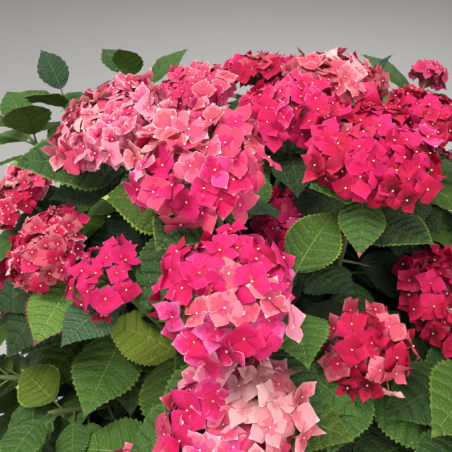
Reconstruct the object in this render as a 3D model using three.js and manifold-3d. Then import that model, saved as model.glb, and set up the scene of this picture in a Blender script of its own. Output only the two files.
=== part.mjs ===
// A mophead hydrangea shrub, rooted in the ground, about 1.3 m across and 0.95 m tall.
// A low woody crown carries arching canes. Each cane ends in one mass of leafy shoots, and the
// flowering shoots end in round flower heads. Millimetres, +Z up, origin at the middle of the flat
// cut under the crown. The front of the shrub, which the photograph shows, faces -Y.
import * as THREE from "three";
import { mergeVertices } from "three/addons/utils/BufferGeometryUtils.js";
import { ConvexHull } from "three/addons/math/ConvexHull.js";
import Module from "manifold-3d";

const wasm = await Module();
wasm.setup();

// Driving sizes
const GAP = 0.3; // between two pieces that meet
const LEAST_GAP = 0.4; // between a leaf and anything that it isn't fused to
const CROWN = {
  sides: 12,
  lobes: 4, // of spread roots
  lean: 0.05, // sideways for each millimetre of height
  rings: [
    { height: 0, radius: 84, lobe: 0.14 },
    { height: 22, radius: 60, lobe: 0.1 },
    { height: 62, radius: 47, lobe: 0.03 },
    { height: 80, radius: 27, lobe: 0.02 },
  ],
};
const CANE = { foot: 11.5, tip: 7.5, sides: 5, steps: 3, forkShare: 0.42 };
const SOCKET = { length: 46, foot: 1.4, tip: 1.2 }; // radii as shares of the cane's foot
const INNER = { lean: 22, sectors: 4, reach: 24, height: 112, tilt: 9 };
const OUTER = { sectors: 8, reach: 50, height: 96, tilt: 27 };
const TWIG = { foot: 5.8, tip: 4, sides: 3, steps: 3, collar: 26, fork: 0.6, leave: 0.3, enter: 0.36 };
const HEAD = {
  rise: 0.66, // height of its top above its middle, as a share of half its width
  sink: 0.36, // the same, for its underside
  stalk: 34, // below its underside
  stalkRadius: 3.3,
  stalkShare: 0.2, // of the way down from its middle, where the stalk ends inside
  leanFrom: 150, // height of the point that the heads face away from
  floretSpace: 63, // width of the square that one floret fills
  petalReach: 0.47, // from a floret's middle to a petal tip, as a share of that width
  lowest: -18, // latitude of the lowest florets, in degrees
  middle: 0.95, // how far out a floret's middle stands, where its petal tips stand at 1
  hollow: 0.79, // between florets
  foot: 0.8, // of the underside's middle
};
const LEAF = {
  length: 138,
  spread: 0.14,
  width: 0.67, // of its length
  stalk: 30,
  rootRadius: 1.1,
  testedFrom: 12, // along the stalk
  thickness: 0.02, // of its length
  droop: 42, // degrees, from the foot of the blade to its tip
  steepest: 74, // degrees above level
  lowest: 10, // height above the ground
  // Share of the blade from its foot, and half width there as a share of the widest.
  stations: {
    full: [
      [0, 0.06],
      [0.4, 1],
      [0.76, 0.6],
    ],
    plain: [
      [0, 0.06],
      [0.43, 1],
    ],
    small: [[0.36, 1]],
  },
};
// The shaded dome in the middle of the crown: its reach, its height, and the height of its middle.
const SHADE = { reach: 355, height: 365, from: 330 };
// Pairs of leaves from the top of a shoot down: shape, distance, angle from the stem, and scale.
const PAIRS = {
  clear: 30, // from the fork
  lowest: 120, // height above the ground
  flowering: [
    { shape: "plain", down: 14, spreadAngle: 64, scale: 0.95 },
    { shape: "plain", down: 58, spreadAngle: 70, scale: 1.05 },
    { shape: "plain", down: 112, spreadAngle: 78, scale: 1 },
  ],
  leafy: [
    { shape: "small", down: 5, spreadAngle: 26, scale: 0.62 },
    { shape: "plain", down: 26, spreadAngle: 52, scale: 0.9 },
    { shape: "plain", down: 78, spreadAngle: 66, scale: 1.08 },
  ],
};
// Other ways to hold a leaf that would touch something: [turned, raised, scaled].
const OTHER_WAYS = [
  [0, 0, 1],
  [0, -18, 1],
  [0, 16, 1],
  [24, 0, 1],
  [-24, 0, 1],
  [16, -30, 0.9],
  [-16, -30, 0.9],
  [30, 18, 0.85],
  [-30, 18, 0.85],
  [0, -45, 0.8],
];
// How far a stem is bowed sideways, where it would touch something on its straight way.
const BOWS = [0, 40, -40, 80, -80, 120, -120, 170, -170, 220, -220];

// Shoots that the photograph shows: the middle of the flower head, or the tip of a leafy shoot, and
// the head's width, which is 0 on a leafy shoot. turn is where the uppermost pair of leaves stands
// round the stem.
const SEEN_SHOOTS = [
  { name: "bloom_front", at: [-120, -424, 799], across: 152, turn: 20 },
  { name: "bloom_middle", at: [-150, -278, 873], across: 168, turn: 100 },
  { name: "bloom_pale_left", at: [-280, -122, 855], across: 178, turn: 215 },
  { name: "bloom_top_left", at: [-168, 64, 826], across: 141, turn: 60 },
  { name: "bloom_top_middle", at: [-27, -66, 848], across: 152, turn: 250 },
  { name: "bloom_salmon", at: [64, 101, 828], across: 170, turn: 130 },
  { name: "bloom_right", at: [69, -206, 855], across: 170, turn: 265 },
  { name: "bloom_far_right", at: [197, -6, 811], across: 136, turn: 40 },
  { name: "bloom_small_back", at: [339, 461, 700], across: 92, turn: 150 },
  { name: "bloom_young", at: [-272, -303, 729], across: 100, turn: 200 },
  { name: "bloom_left", at: [-377, -185, 689], across: 136, turn: 160 },
  { name: "bloom_left_upper", at: [-452, -43, 691], across: 130, turn: 75 },
  { name: "bloom_low_front", at: [-106, -440, 625], across: 176, turn: 170 },
  { name: "bloom_low_right", at: [65, -339, 639], across: 128, turn: 300 },
  { name: "bloom_right_edge", at: [206, -204, 608], across: 168, turn: 320 },
  { name: "bloom_hidden", at: [-17, -114, 687], across: 126, turn: 30 },
  { name: "bloom_top_back", at: [-63, 273, 778], across: 130, turn: 100 },
  { name: "shoot_middle", at: [-44, -308, 715], across: 0, turn: 10 },
  { name: "shoot_low_left", at: [-400, -262, 425], across: 0, turn: 200 },
  { name: "shoot_left", at: [-480, 120, 720], across: 0, turn: 15 },
  { name: "shoot_left_back", at: [-425, 200, 750], across: 0, turn: 60 },
  { name: "shoot_top_left", at: [-285, 180, 790], across: 0, turn: 120 },
  { name: "shoot_middle_back", at: [145, 245, 735], across: 0, turn: 80 },
  { name: "shoot_right_back", at: [260, 290, 715], across: 0, turn: 20 },
];

// Leaves that stand out in the photograph: the shoot, the distance below the top of its stem, compass
// angle, rise, length of the blade, and droop.
const SEEN_LEAVES = [
  ["bloom_pale_left", 35, 200, 30, 165, 35],
  ["bloom_middle", 50, 170, 20, 135, 35],
  ["bloom_middle", 20, 240, 20, 105, 35],
  ["bloom_left_upper", 190, 90, 45, 135, 15],
  ["bloom_left", 15, 255, 20, 125, 15],
  ["bloom_left_upper", 220, 230, 30, 135, 55],
  ["bloom_young", 225, 160, 30, 145, 35],
  ["bloom_left", 170, 255, 0, 165, 15],
  ["bloom_skirt_8", 125, 240, 0, 125, 35],
  ["shoot_low_left", 30, 135, 0, 115, 15],
  ["bloom_skirt_8", 65, 250, 20, 145, 15],
  ["shoot_middle", 10, 50, 45, 105, 35],
  ["bloom_hidden", 45, 305, 20, 125, 15],
  ["shoot_middle", 70, 280, 35, 115, 55],
  ["shoot_middle_back", 155, 290, -25, 135, 55],
  ["bloom_right", 70, 305, 20, 115, 15],
  ["bloom_top_middle", 135, 50, 30, 135, 55],
  ["bloom_right", 10, 225, 30, 95, 15],
  ["bloom_middle", 45, 50, 0, 115, 55],
  ["bloom_far_right", 85, 290, 10, 115, 15],
];

// The rest of the shrub: rings of shoots round it. from and step are compass angles.
const SHOOT_RINGS = [
  { name: "bloom_shoulder_right", reach: 425, height: 735, across: 150, from: -18, step: 37, count: 2 },
  { name: "bloom_shoulder_back", reach: 430, height: 690, across: 140, from: 88, step: 34, count: 2 },
  { name: "bloom_skirt", reach: 500, height: 515, across: 136, from: -62, step: 36, count: 8 },
  { name: "bloom_skirt_front", reach: 475, height: 430, across: 140, from: 240, step: 32, count: 2 },
  { name: "shoot_shoulder", reach: 455, height: 610, across: 0, from: -48, step: 62, count: 3 },
  { name: "shoot_waist", reach: 520, height: 400, across: 0, from: -14, step: 52, count: 6 },
  { name: "shoot_skirt", reach: 490, height: 270, across: 0, from: 10, step: 60, count: 6 },
];
const RING_SPREAD = { reach: 0.05, height: 22, angle: 5 };

const SECTOR_NAMES = {
  inner: ["inner_back_right", "inner_back_left", "inner_front_left", "inner_front_right"],
  outer: [
    "right_back",
    "back_right",
    "back_left",
    "left_back",
    "left_front",
    "front_left",
    "front_right",
    "right_front",
  ],
};

const COLOURS = {
  bark: { color: 0x8a7459, roughness: 0.85 },
  leaf: { color: 0x5c7d3a, roughness: 0.55 },
  flower: { color: 0xdf3f74, roughness: 0.6 },
};

const UP = new THREE.Vector3(0, 0, 1);
const GOLDEN_TURN = Math.PI * (3 - Math.sqrt(5));
const radians = THREE.MathUtils.degToRad;
const level = (angle, reach = 1) =>
  new THREE.Vector3(Math.cos(radians(angle)) * reach, Math.sin(radians(angle)) * reach, 0);
const along = (point, way, distance) => point.clone().addScaledVector(way, distance);

// A number from 0 to 1 that only depends on its two keys.
function vary(key, draw) {
  const s = Math.sin(key * 12.9898 + draw * 78.233) * 43758.5453;
  return s - Math.floor(s);
}
const spread = (most, key, draw) => (2 * vary(key, draw) - 1) * most;

// A closed geometry as a solid.
function solidOf(geometry) {
  const bare = new THREE.BufferGeometry().setAttribute("position", geometry.getAttribute("position"));
  if (geometry.index) bare.setIndex(geometry.index);
  const merged = mergeVertices(bare, 1e-4);
  return new wasm.Manifold(
    new wasm.Mesh({
      numProp: 3,
      vertProperties: merged.attributes.position.array,
      triVerts: new Uint32Array(merged.index.array),
    }),
  );
}

// The outer body of a fused solid: a sealed hollow is filled, and a loose scrap is dropped.
function outerBody(solid) {
  return solid.decompose().reduce((most, body) => (body.volume() > most.volume() ? body : most));
}

function meshOf(name, solid, look) {
  const { numProp, vertProperties, triVerts } = outerBody(solid).getMesh();
  const positions = new Float32Array((vertProperties.length / numProp) * 3);
  for (let i = 0; i < positions.length / 3; i++) {
    positions.set(vertProperties.subarray(i * numProp, i * numProp + 3), i * 3);
  }
  const geometry = new THREE.BufferGeometry()
    .setAttribute("position", new THREE.BufferAttribute(positions, 3))
    .setIndex(new THREE.BufferAttribute(triVerts, 1));
  geometry.computeVertexNormals();
  const mesh = new THREE.Mesh(geometry, new THREE.MeshStandardMaterial(COLOURS[look]));
  mesh.name = name;
  return mesh;
}

// A tapering limb along a curve, with flat ends square to it: a cylinder whose rings are moved
// onto the curve.
function limb(curve, footRadius, tipRadius, sides, steps) {
  const geometry = new THREE.CylinderGeometry(1, 1, steps, sides, steps);
  const frames = curve.computeFrenetFrames(steps);
  const spots = geometry.getAttribute("position");
  for (let i = 0; i < spots.count; i++) {
    const step = Math.round(spots.getY(i) + steps / 2);
    const radius = THREE.MathUtils.lerp(footRadius, tipRadius, step / steps);
    const spot = curve
      .getPointAt(step / steps)
      .addScaledVector(frames.normals[step], spots.getX(i) * radius)
      .addScaledVector(frames.binormals[step], -spots.getZ(i) * radius);
    spots.setXYZ(i, spot.x, spot.y, spot.z);
  }
  return solidOf(geometry);
}

// The point at a distance below the top of a stem, in the middle of the straight pieces that its
// limb is made of.
function stemSpot(curve, down) {
  const steps = (1 - down / curve.getLength()) * TWIG.steps;
  const below = curve.getPointAt(Math.floor(steps) / TWIG.steps);
  const above = curve.getPointAt(Math.min(Math.floor(steps) + 1, TWIG.steps) / TWIG.steps);
  return below.lerp(above, steps - Math.floor(steps));
}

// Every shoot of the shrub, seen ones first, with its own key for vary().
function allShoots() {
  const shoots = SEEN_SHOOTS.map((seen) => ({ ...seen, at: new THREE.Vector3(...seen.at) }));
  for (const ring of SHOOT_RINGS) {
    for (let i = 0; i < ring.count; i++) {
      const key = shoots.length;
      const name = `${ring.name}_${i + 1}`;
      const angle = ring.from + i * ring.step + spread(RING_SPREAD.angle, key, 1);
      const at = level(angle, ring.reach * (1 + spread(RING_SPREAD.reach, key, 2)));
      at.z = ring.height + spread(RING_SPREAD.height, key, 3);
      shoots.push({ name, at, across: ring.across, turn: 360 * vary(key, 4) });
    }
  }
  shoots.forEach((shoot, key) => {
    const low = shoot.across ? (shoot.across / 2) * HEAD.sink + HEAD.stalk : 0;
    shoot.key = key;
    shoot.axis = shoot.at.clone().sub(new THREE.Vector3(0, 0, HEAD.leanFrom)).normalize();
    shoot.top = along(shoot.at, shoot.axis, -low);
  });
  return shoots;
}

// The shoots by the cane that carries them: steep ones by quarter, and the others by eighth.
function sectorsOf(shoots) {
  const sectors = new Map();
  for (const [kind, from] of Object.entries({ inner: INNER, outer: OUTER })) {
    for (let i = 0; i < from.sectors; i++) {
      const angle = ((i + 0.5) * 360) / from.sectors;
      const foot = level(angle, from.reach).setZ(from.height);
      const start = level(angle, Math.sin(radians(from.tilt))).setZ(Math.cos(radians(from.tilt)));
      sectors.set(SECTOR_NAMES[kind][i], { angle, foot, start, shoots: [] });
    }
  }
  for (const shoot of shoots) {
    const lean = THREE.MathUtils.radToDeg(Math.atan2(Math.hypot(shoot.at.x, shoot.at.y), shoot.at.z));
    const kind = lean < INNER.lean ? "inner" : "outer";
    const turn = (THREE.MathUtils.radToDeg(Math.atan2(shoot.at.y, shoot.at.x)) + 360) % 360;
    const names = SECTOR_NAMES[kind];
    sectors.get(names[Math.floor((turn * names.length) / 360)]).shoots.push(shoot);
  }
  for (const [name, sector] of sectors) {
    if (sector.shoots.length) sector.curve = caneCurve(sector);
    else sectors.delete(name);
  }
  return sectors;
}

// The cane of a sector: from its socket on the crown towards the tops of its shoots.
function caneCurve({ foot, start, shoots }) {
  const aim = new THREE.Vector3();
  shoots.forEach((shoot) => aim.addScaledVector(shoot.top, 1 / shoots.length));
  const fork = foot.clone().lerp(aim, CANE.forkShare);
  const bend = along(foot, start, fork.distanceTo(foot) / 2);
  return new THREE.QuadraticBezierCurve3(foot, bend, fork);
}

// Ways for a shoot's stem to run from the fork to its top: straight up to it first, then bowed to
// one side or the other. Each ends along the shoot's axis, square to the foot of its flower head.
function stemCurves(shoot, fork) {
  const reach = shoot.top.distanceTo(fork);
  const side = new THREE.Vector3().crossVectors(shoot.axis, UP).normalize();
  const early = fork.clone().lerp(shoot.top, TWIG.leave);
  const late = along(shoot.top, shoot.axis, -reach * TWIG.enter);
  return BOWS.map(
    (bow) => new THREE.CubicBezierCurve3(fork, along(early, side, bow), late, shoot.top),
  );
}

// Where a leaf runs: a straight stalk, then a blade that bends down on an arc of a circle.
// spot(d) is the point at a distance from its root, and heading(d) the way that it runs there.
function leafLine({ root, angle, rise, length, droop }) {
  const out = level(angle);
  const start = radians(rise);
  const bend = radians(droop) / length;
  const tilt = (d) => start - bend * Math.max(d - LEAF.stalk, 0);
  const spot = (d) => {
    const stalk = Math.min(d, LEAF.stalk);
    const outward = stalk * Math.cos(start) + (Math.sin(start) - Math.sin(tilt(d))) / bend;
    const upward = stalk * Math.sin(start) + (Math.cos(tilt(d)) - Math.cos(start)) / bend;
    return along(along(root, out, outward), UP, upward);
  };
  const heading = (d) => out.clone().multiplyScalar(Math.cos(tilt(d))).setZ(Math.sin(tilt(d)));
  return { spot, heading, across: level(angle + 90) };
}

// A leaf with its stalk: a cone of three sides whose rings are spread out into the blade, two
// corners at its edges and one below its middle. from is where it begins along the stalk.
function leafSolid(leaf, from = 0) {
  const line = leafLine(leaf);
  const rings = [{ distance: from, half: LEAF.rootRadius, depth: LEAF.rootRadius * 2 }];
  for (const [share, width] of LEAF.stations[leaf.shape]) {
    const distance = LEAF.stalk + share * leaf.length;
    const half = (width * leaf.length * LEAF.width) / 2;
    rings.push({ distance, half, depth: leaf.length * LEAF.thickness });
  }
  rings.push({ distance: LEAF.stalk + leaf.length, half: 0, depth: 0 });
  const last = rings.length - 1;
  const geometry = new THREE.ConeGeometry(1, last, 3, last);
  const spots = geometry.getAttribute("position");
  for (let i = 0; i < spots.count; i++) {
    const ring = Math.round(last / 2 - spots.getY(i));
    const { distance, half, depth } = rings[last - ring];
    const size = ring / last || 1;
    const sideways = spots.getX(i) / size / Math.sin(radians(120));
    const down = (spots.getZ(i) / size + 0.5) / 1.5;
    const below = line.heading(distance).cross(line.across).negate();
    const spot = along(along(line.spot(distance), line.across, sideways * half), below, down * depth);
    spots.setXYZ(i, spot.x, spot.y, spot.z);
  }
  return solidOf(geometry);
}

// The leaves of a shoot, in pairs that stand at right angles to the pair above.
function leavesOf(shoot, curve) {
  const length = curve.getLength();
  const kind = shoot.across ? PAIRS.flowering : PAIRS.leafy;
  const leaves = [];
  kind.forEach(({ down, spreadAngle, scale }, pair) => {
    if (down > length - PAIRS.clear) return;
    const root = stemSpot(curve, down);
    if (root.z < PAIRS.lowest) return;
    const axis = curve.getTangentAt(1 - down / length);
    const flat = new THREE.Vector3().crossVectors(axis, UP).normalize();
    const other = new THREE.Vector3().crossVectors(flat, axis);
    for (const half of [0, 1]) {
      const key = shoot.key * 20 + pair * 2 + half;
      const turn = radians(shoot.turn + pair * 90 + half * 180 + spread(14, key, 5));
      const side = flat.clone().multiplyScalar(Math.cos(turn)).addScaledVector(other, Math.sin(turn));
      const way = axis.clone().applyAxisAngle(
        new THREE.Vector3().crossVectors(axis, side),
        radians(spreadAngle + spread(9, key, 6)),
      );
      leaves.push({
        root,
        key,
        pair,
        shape: kind[pair].shape,
        angle: THREE.MathUtils.radToDeg(Math.atan2(way.y, way.x)),
        rise: Math.min(THREE.MathUtils.radToDeg(Math.asin(way.z)), LEAF.steepest),
        length: LEAF.length * scale * (1 + spread(LEAF.spread, key, 7)),
        droop: LEAF.droop + spread(12, key, 8),
      });
    }
  });
  SEEN_LEAVES.forEach(([on, down, angle, rise, size, droop], key) => {
    if (on !== shoot.name) return;
    const root = stemSpot(curve, down);
    leaves.push({ root, key, pair: -1, shape: "full", angle, rise, length: size, droop });
  });
  return leaves;
}

// The directions of a head's points, each with how far out it stands: for every floret its middle
// and four petal tips, the hollows between florets, and the middle of the underside.
function headPoints(shoot) {
  const lowest = Math.sin(radians(HEAD.lowest));
  const share = (1 - lowest) / 2;
  const count = Math.round((Math.PI * share * shoot.across ** 2) / HEAD.floretSpace ** 2);
  const reach = Math.sqrt((4 * Math.PI * share) / count) * HEAD.petalReach;
  const middles = [];
  const points = [];
  for (let i = 0; i < count; i++) {
    const z = lowest + ((i + 0.5) / count) * (1 - lowest);
    const turn = i * GOLDEN_TURN + 2 * Math.PI * vary(shoot.key, 9);
    const middle = new THREE.Vector3(Math.cos(turn), Math.sin(turn), 0)
      .multiplyScalar(Math.sqrt(1 - z * z))
      .setZ(z);
    middles.push(middle);
    points.push({ way: middle, lift: HEAD.middle });
    const side = new THREE.Vector3().crossVectors(middle, UP).normalize();
    side.applyAxisAngle(middle, (Math.PI / 2) * vary(shoot.key * 40 + i, 10));
    for (let petal = 0; petal < 4; petal++) {
      const way = middle.clone().multiplyScalar(Math.cos(reach)).addScaledVector(side, Math.sin(reach));
      points.push({ way, lift: 1 });
      side.applyAxisAngle(middle, Math.PI / 2);
    }
  }
  const foot = UP.clone().negate();
  points.push({ way: foot, lift: HEAD.foot });
  for (const { normal } of new ConvexHull().setFromPoints([...middles, foot]).faces) {
    points.push({ way: normal.clone(), lift: HEAD.hollow });
  }
  return points;
}

// A head of florets: the surface through its points, round the axis of its shoot.
function headSolid(shoot) {
  const { at, across, axis } = shoot;
  const half = across / 2;
  const turned = new THREE.Quaternion().setFromUnitVectors(UP, axis);
  const spots = new Map();
  for (const { way, lift } of headPoints(shoot)) {
    const tall = way.z > 0 ? HEAD.rise : HEAD.sink;
    const spot = new THREE.Vector3(way.x, way.y, way.z * tall).multiplyScalar(half * lift);
    spots.set(way, spot.applyQuaternion(turned).add(at));
  }
  const corners = [];
  for (const face of new ConvexHull().setFromPoints([...spots.keys()]).faces) {
    for (let edge = face.edge, i = 0; i < 3; edge = edge.next, i++) {
      corners.push(spots.get(edge.head().point));
    }
  }
  return solidOf(new THREE.BufferGeometry().setFromPoints(corners));
}

function bloomSolid(shoot) {
  const foot = along(shoot.top, shoot.axis, GAP);
  const end = along(shoot.at, shoot.axis, (-shoot.across / 2) * HEAD.sink * HEAD.stalkShare);
  const stalk = limb(new THREE.LineCurve3(foot, end), HEAD.stalkRadius, HEAD.stalkRadius, TWIG.sides, 1);
  return stalk.add(headSolid(shoot));
}

// The woody crown: rings that narrow upwards from spread roots, and a socket for every cane.
function crownSolid(sectors) {
  const geometry = new THREE.CylinderGeometry(1, 1, 1, CROWN.sides, CROWN.rings.length - 1);
  const spots = geometry.getAttribute("position");
  for (let i = 0; i < spots.count; i++) {
    const ring = CROWN.rings[Math.round((spots.getY(i) + 0.5) * (CROWN.rings.length - 1))];
    const turn = Math.atan2(spots.getX(i), spots.getZ(i));
    const lobe = 1 + ring.lobe * Math.cos(turn * CROWN.lobes) + ring.lobe * 0.5 * Math.sin(turn * 2);
    const reach = Math.hypot(spots.getX(i), spots.getZ(i)) * ring.radius * lobe;
    const middle = CROWN.lean * ring.height;
    spots.setXYZ(i, Math.sin(turn) * reach + middle, -Math.cos(turn) * reach, ring.height);
  }
  let crown = solidOf(geometry);
  for (const { foot, start } of sectors.values()) {
    const sunk = along(foot, start, -SOCKET.length);
    const socket = new THREE.LineCurve3(sunk, along(foot, start, -GAP));
    crown = crown.add(limb(socket, CANE.foot * SOCKET.foot, CANE.foot * SOCKET.tip, CANE.sides, 1));
  }
  return crown;
}

function build() {
  const shoots = allShoots();
  const sectors = sectorsOf(shoots);
  const shrub = new THREE.Group();
  shrub.name = "hydrangea_shrub";
  const obstacles = [];
  const guard = (solid, owner) => obstacles.push({ solid, box: solid.boundingBox(), owner });
  const put = (name, solid, look, owner) => {
    guard(solid, owner);
    shrub.add(meshOf(name, solid, look));
  };
  put("root_crown", crownSolid(sectors), "bark");
  for (const [name, sector] of sectors) {
    const cane = limb(sector.curve, CANE.foot, CANE.tip, CANE.sides, CANE.steps);
    put(`cane_${name}`, cane, "bark", sector);
  }
  for (const shoot of shoots) {
    if (shoot.across) put(shoot.name, bloomSolid(shoot), "flower", shoot);
  }

  // Stems first, so that every leaf is tested against all of them.
  const leaves = [];
  for (const sector of sectors.values()) {
    const { curve } = sector;
    const way = curve.getTangentAt(1);
    const fork = along(curve.getPointAt(1), way, TWIG.collar * TWIG.fork);
    const collar = new THREE.LineCurve3(
      along(curve.getPointAt(1), way, GAP),
      along(curve.getPointAt(1), way, TWIG.collar),
    );
    sector.solids = [limb(collar, CANE.tip, CANE.tip, CANE.sides, 1)];
    guard(sector.solids[0], sector);
    for (const shoot of sector.shoots) {
      const stemOf = (curve) => limb(curve, TWIG.foot, TWIG.tip, TWIG.sides, TWIG.steps);
      const others = obstacles.filter(({ owner }) => owner !== sector && owner !== shoot);
      const curves = stemCurves(shoot, fork);
      const line = curves.find((curve) => isClear(stemOf(curve), others)) ?? curves[0];
      sector.solids.push(stemOf(line));
      guard(stemOf(line), sector);
      leaves.push(...leavesOf(shoot, line).map((leaf) => ({ ...leaf, sector })));
    }
  }

  // Leaves from the top of each shoot down, without those in the deep shade of the crown's middle. One that would touch something is held another way,
  // and one that finds no clear way is left out.
  leaves.sort((a, b) => a.pair - b.pair || a.key - b.key);
  for (const leaf of leaves.filter((each) => each.pair < 0 || !isShaded(each))) {
    for (const [turned, raised, scaled] of OTHER_WAYS) {
      const held = { ...leaf, angle: leaf.angle + turned, rise: Math.min(leaf.rise + raised, LEAF.steepest) };
      held.length *= scaled;
      const solid = leafSolid(held, LEAF.testedFrom);
      if (isClear(solid, obstacles)) {
        guard(solid);
        leaf.sector.solids.push(leafSolid(held));
        break;
      }
    }
  }
  for (const [name, { solids }] of sectors) {
    shrub.add(meshOf(`leaves_${name}`, solids.reduce((all, solid) => all.add(solid)), "leaf"));
  }
  return shrub;
}

function isShaded({ root, length, angle }) {
  const middle = along(root, level(angle), LEAF.stalk + length / 2);
  const { reach, height, from } = SHADE;
  return Math.hypot(Math.hypot(middle.x, middle.y) / reach, (middle.z - from) / height) < 1;
}

function isClear(solid, obstacles) {
  const box = solid.boundingBox();
  if (box.min[2] < LEAF.lowest) return false;
  return obstacles.every((other) => {
    const apart = [0, 1, 2].some(
      (k) => box.min[k] - other.box.max[k] > LEAST_GAP || other.box.min[k] - box.max[k] > LEAST_GAP,
    );
    return apart || solid.minGap(other.solid, LEAST_GAP * 2) > LEAST_GAP;
  });
}

export default build();
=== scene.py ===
# Looks for the mophead hydrangea shrub: bark, leaves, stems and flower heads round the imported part.
# The shrub grows by the same rule as the part's own solids, carried on to finer leaves and florets.
# The rule works in millimetres, and every mesh is made in metres. The front faces -Y.
import math
from dataclasses import dataclass, replace

import bpy
import numpy as np
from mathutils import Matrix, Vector
from mathutils.kdtree import KDTree


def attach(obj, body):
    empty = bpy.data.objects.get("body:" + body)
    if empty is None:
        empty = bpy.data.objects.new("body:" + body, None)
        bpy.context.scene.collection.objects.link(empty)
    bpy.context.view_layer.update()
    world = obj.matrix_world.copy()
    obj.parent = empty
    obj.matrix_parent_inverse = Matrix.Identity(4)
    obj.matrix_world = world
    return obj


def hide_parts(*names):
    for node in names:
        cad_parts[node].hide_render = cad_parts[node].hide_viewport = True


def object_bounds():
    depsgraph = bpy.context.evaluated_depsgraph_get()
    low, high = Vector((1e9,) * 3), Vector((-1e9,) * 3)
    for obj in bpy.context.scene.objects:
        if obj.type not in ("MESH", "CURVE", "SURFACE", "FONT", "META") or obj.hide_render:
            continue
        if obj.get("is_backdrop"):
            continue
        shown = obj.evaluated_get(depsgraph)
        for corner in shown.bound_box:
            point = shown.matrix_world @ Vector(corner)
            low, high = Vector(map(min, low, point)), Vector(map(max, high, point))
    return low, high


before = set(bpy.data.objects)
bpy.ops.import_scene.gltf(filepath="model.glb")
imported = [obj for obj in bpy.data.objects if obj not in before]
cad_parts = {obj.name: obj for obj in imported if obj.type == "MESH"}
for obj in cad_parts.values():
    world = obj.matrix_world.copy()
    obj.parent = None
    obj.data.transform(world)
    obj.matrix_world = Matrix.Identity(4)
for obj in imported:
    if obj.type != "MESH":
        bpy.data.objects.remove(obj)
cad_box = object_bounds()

MM = 0.001
UP = np.array([0.0, 0.0, 1.0])
GOLDEN_TURN = math.pi * (3 - math.sqrt(5))

# Sizes of the part, in millimetres. Rings of the crown: height, radius, lobe
GAP = 0.3
CROWN_RINGS = [(0, 84, 0.14), (22, 60, 0.1), (62, 47, 0.03), (80, 27, 0.02)]
CROWN_LOBES = 4
CROWN_LEAN = 0.05
CANE_FOOT = 11.5
CANE_TIP = 7.5
FORK_SHARE = 0.42
SOCKET_LENGTH = 46
SOCKET_FOOT = 1.4
SOCKET_TIP = 1.2
INNER = {"reach": 24, "height": 112, "tilt": 9}
OUTER = {"reach": 50, "height": 96, "tilt": 27}
INNER_LEAN = 22
INNER_NAMES = ["inner_back_right", "inner_back_left", "inner_front_left", "inner_front_right"]
OUTER_NAMES = ["right_back", "back_right", "back_left", "left_back"]
OUTER_NAMES += ["left_front", "front_left", "front_right", "right_front"]
TWIG = {"foot": 5.8, "tip": 4, "steps": 3, "collar": 26, "fork": 0.6, "leave": 0.3, "enter": 0.36}
BOWS = [0, 40, -40, 80, -80, 120, -120, 170, -170, 220, -220]
HEAD_RISE = 0.66
HEAD_SINK = 0.36
HEAD_STALK = 34
HEAD_STALK_RADIUS = 3.3
LEAN_FROM = 150
LEAF_LENGTH = 138
LEAF_SPREAD = 0.14
LEAF_WIDTH = 0.67
LEAF_STALK = 30
LEAF_DROOP = 42
STEEPEST = 74
# Pairs of leaves: how far below the top, angle to the stem, and size
PAIRS_FLOWERING = [(14, 64, 0.95), (58, 70, 1.05), (112, 78, 1)]
PAIRS_LEAFY = [(5, 26, 0.62), (26, 52, 0.9), (78, 66, 1.08)]
PAIR_CLEAR = 30  # of the stem's foot
PAIR_LOWEST = 120
# How far chance turns, tilts and bends a leaf
PAIR_TURN = 14
PAIR_ANGLE = 9
PAIR_DROOP = 12
# Ways to hold a leaf, tried one after the other: turned, raised, scaled
OTHER_WAYS = [(0, 0, 1), (0, -18, 1), (0, 16, 1), (24, 0, 1), (-24, 0, 1)]
OTHER_WAYS += [(16, -30, 0.9), (-16, -30, 0.9), (30, 18, 0.85), (-30, 18, 0.85), (0, -45, 0.8)]
PACKED_WITHIN = 0.05  # from a leaf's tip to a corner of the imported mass

# Shoots: name, middle of the head or tip of the shoot, width of the head, turn of the top pair
SEEN_SHOOTS = [
    ("bloom_front", (-120, -424, 799), 152, 20),
    ("bloom_middle", (-150, -278, 873), 168, 100),
    ("bloom_pale_left", (-280, -122, 855), 178, 215),
    ("bloom_top_left", (-168, 64, 826), 141, 60),
    ("bloom_top_middle", (-27, -66, 848), 152, 250),
    ("bloom_salmon", (64, 101, 828), 170, 130),
    ("bloom_right", (69, -206, 855), 170, 265),
    ("bloom_far_right", (197, -6, 811), 136, 40),
    ("bloom_small_back", (339, 461, 700), 92, 150),
    ("bloom_young", (-272, -303, 729), 100, 200),
    ("bloom_left", (-377, -185, 689), 136, 160),
    ("bloom_left_upper", (-452, -43, 691), 130, 75),
    ("bloom_low_front", (-106, -440, 625), 176, 170),
    ("bloom_low_right", (65, -339, 639), 128, 300),
    ("bloom_right_edge", (206, -204, 608), 168, 320),
    ("bloom_hidden", (-17, -114, 687), 126, 30),
    ("bloom_top_back", (-63, 273, 778), 130, 100),
    ("shoot_middle", (-44, -308, 715), 0, 10),
    ("shoot_low_left", (-400, -262, 425), 0, 200),
    ("shoot_left", (-480, 120, 720), 0, 15),
    ("shoot_left_back", (-425, 200, 750), 0, 60),
    ("shoot_top_left", (-285, 180, 790), 0, 120),
    ("shoot_middle_back", (145, 245, 735), 0, 80),
    ("shoot_right_back", (260, 290, 715), 0, 20),
]
# Rings of shoots: name, reach, height, width of the head, first angle, step, count
SHOOT_RINGS = [
    ("bloom_shoulder_right", 425, 735, 150, -18, 37, 2),
    ("bloom_shoulder_back", 430, 690, 140, 88, 34, 2),
    ("bloom_skirt", 500, 515, 136, -62, 36, 8),
    ("bloom_skirt_front", 475, 430, 140, 240, 32, 2),
    ("shoot_shoulder", 455, 610, 0, -48, 62, 3),
    ("shoot_waist", 520, 400, 0, -14, 52, 6),
    ("shoot_skirt", 490, 270, 0, 10, 60, 6),
]
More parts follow.
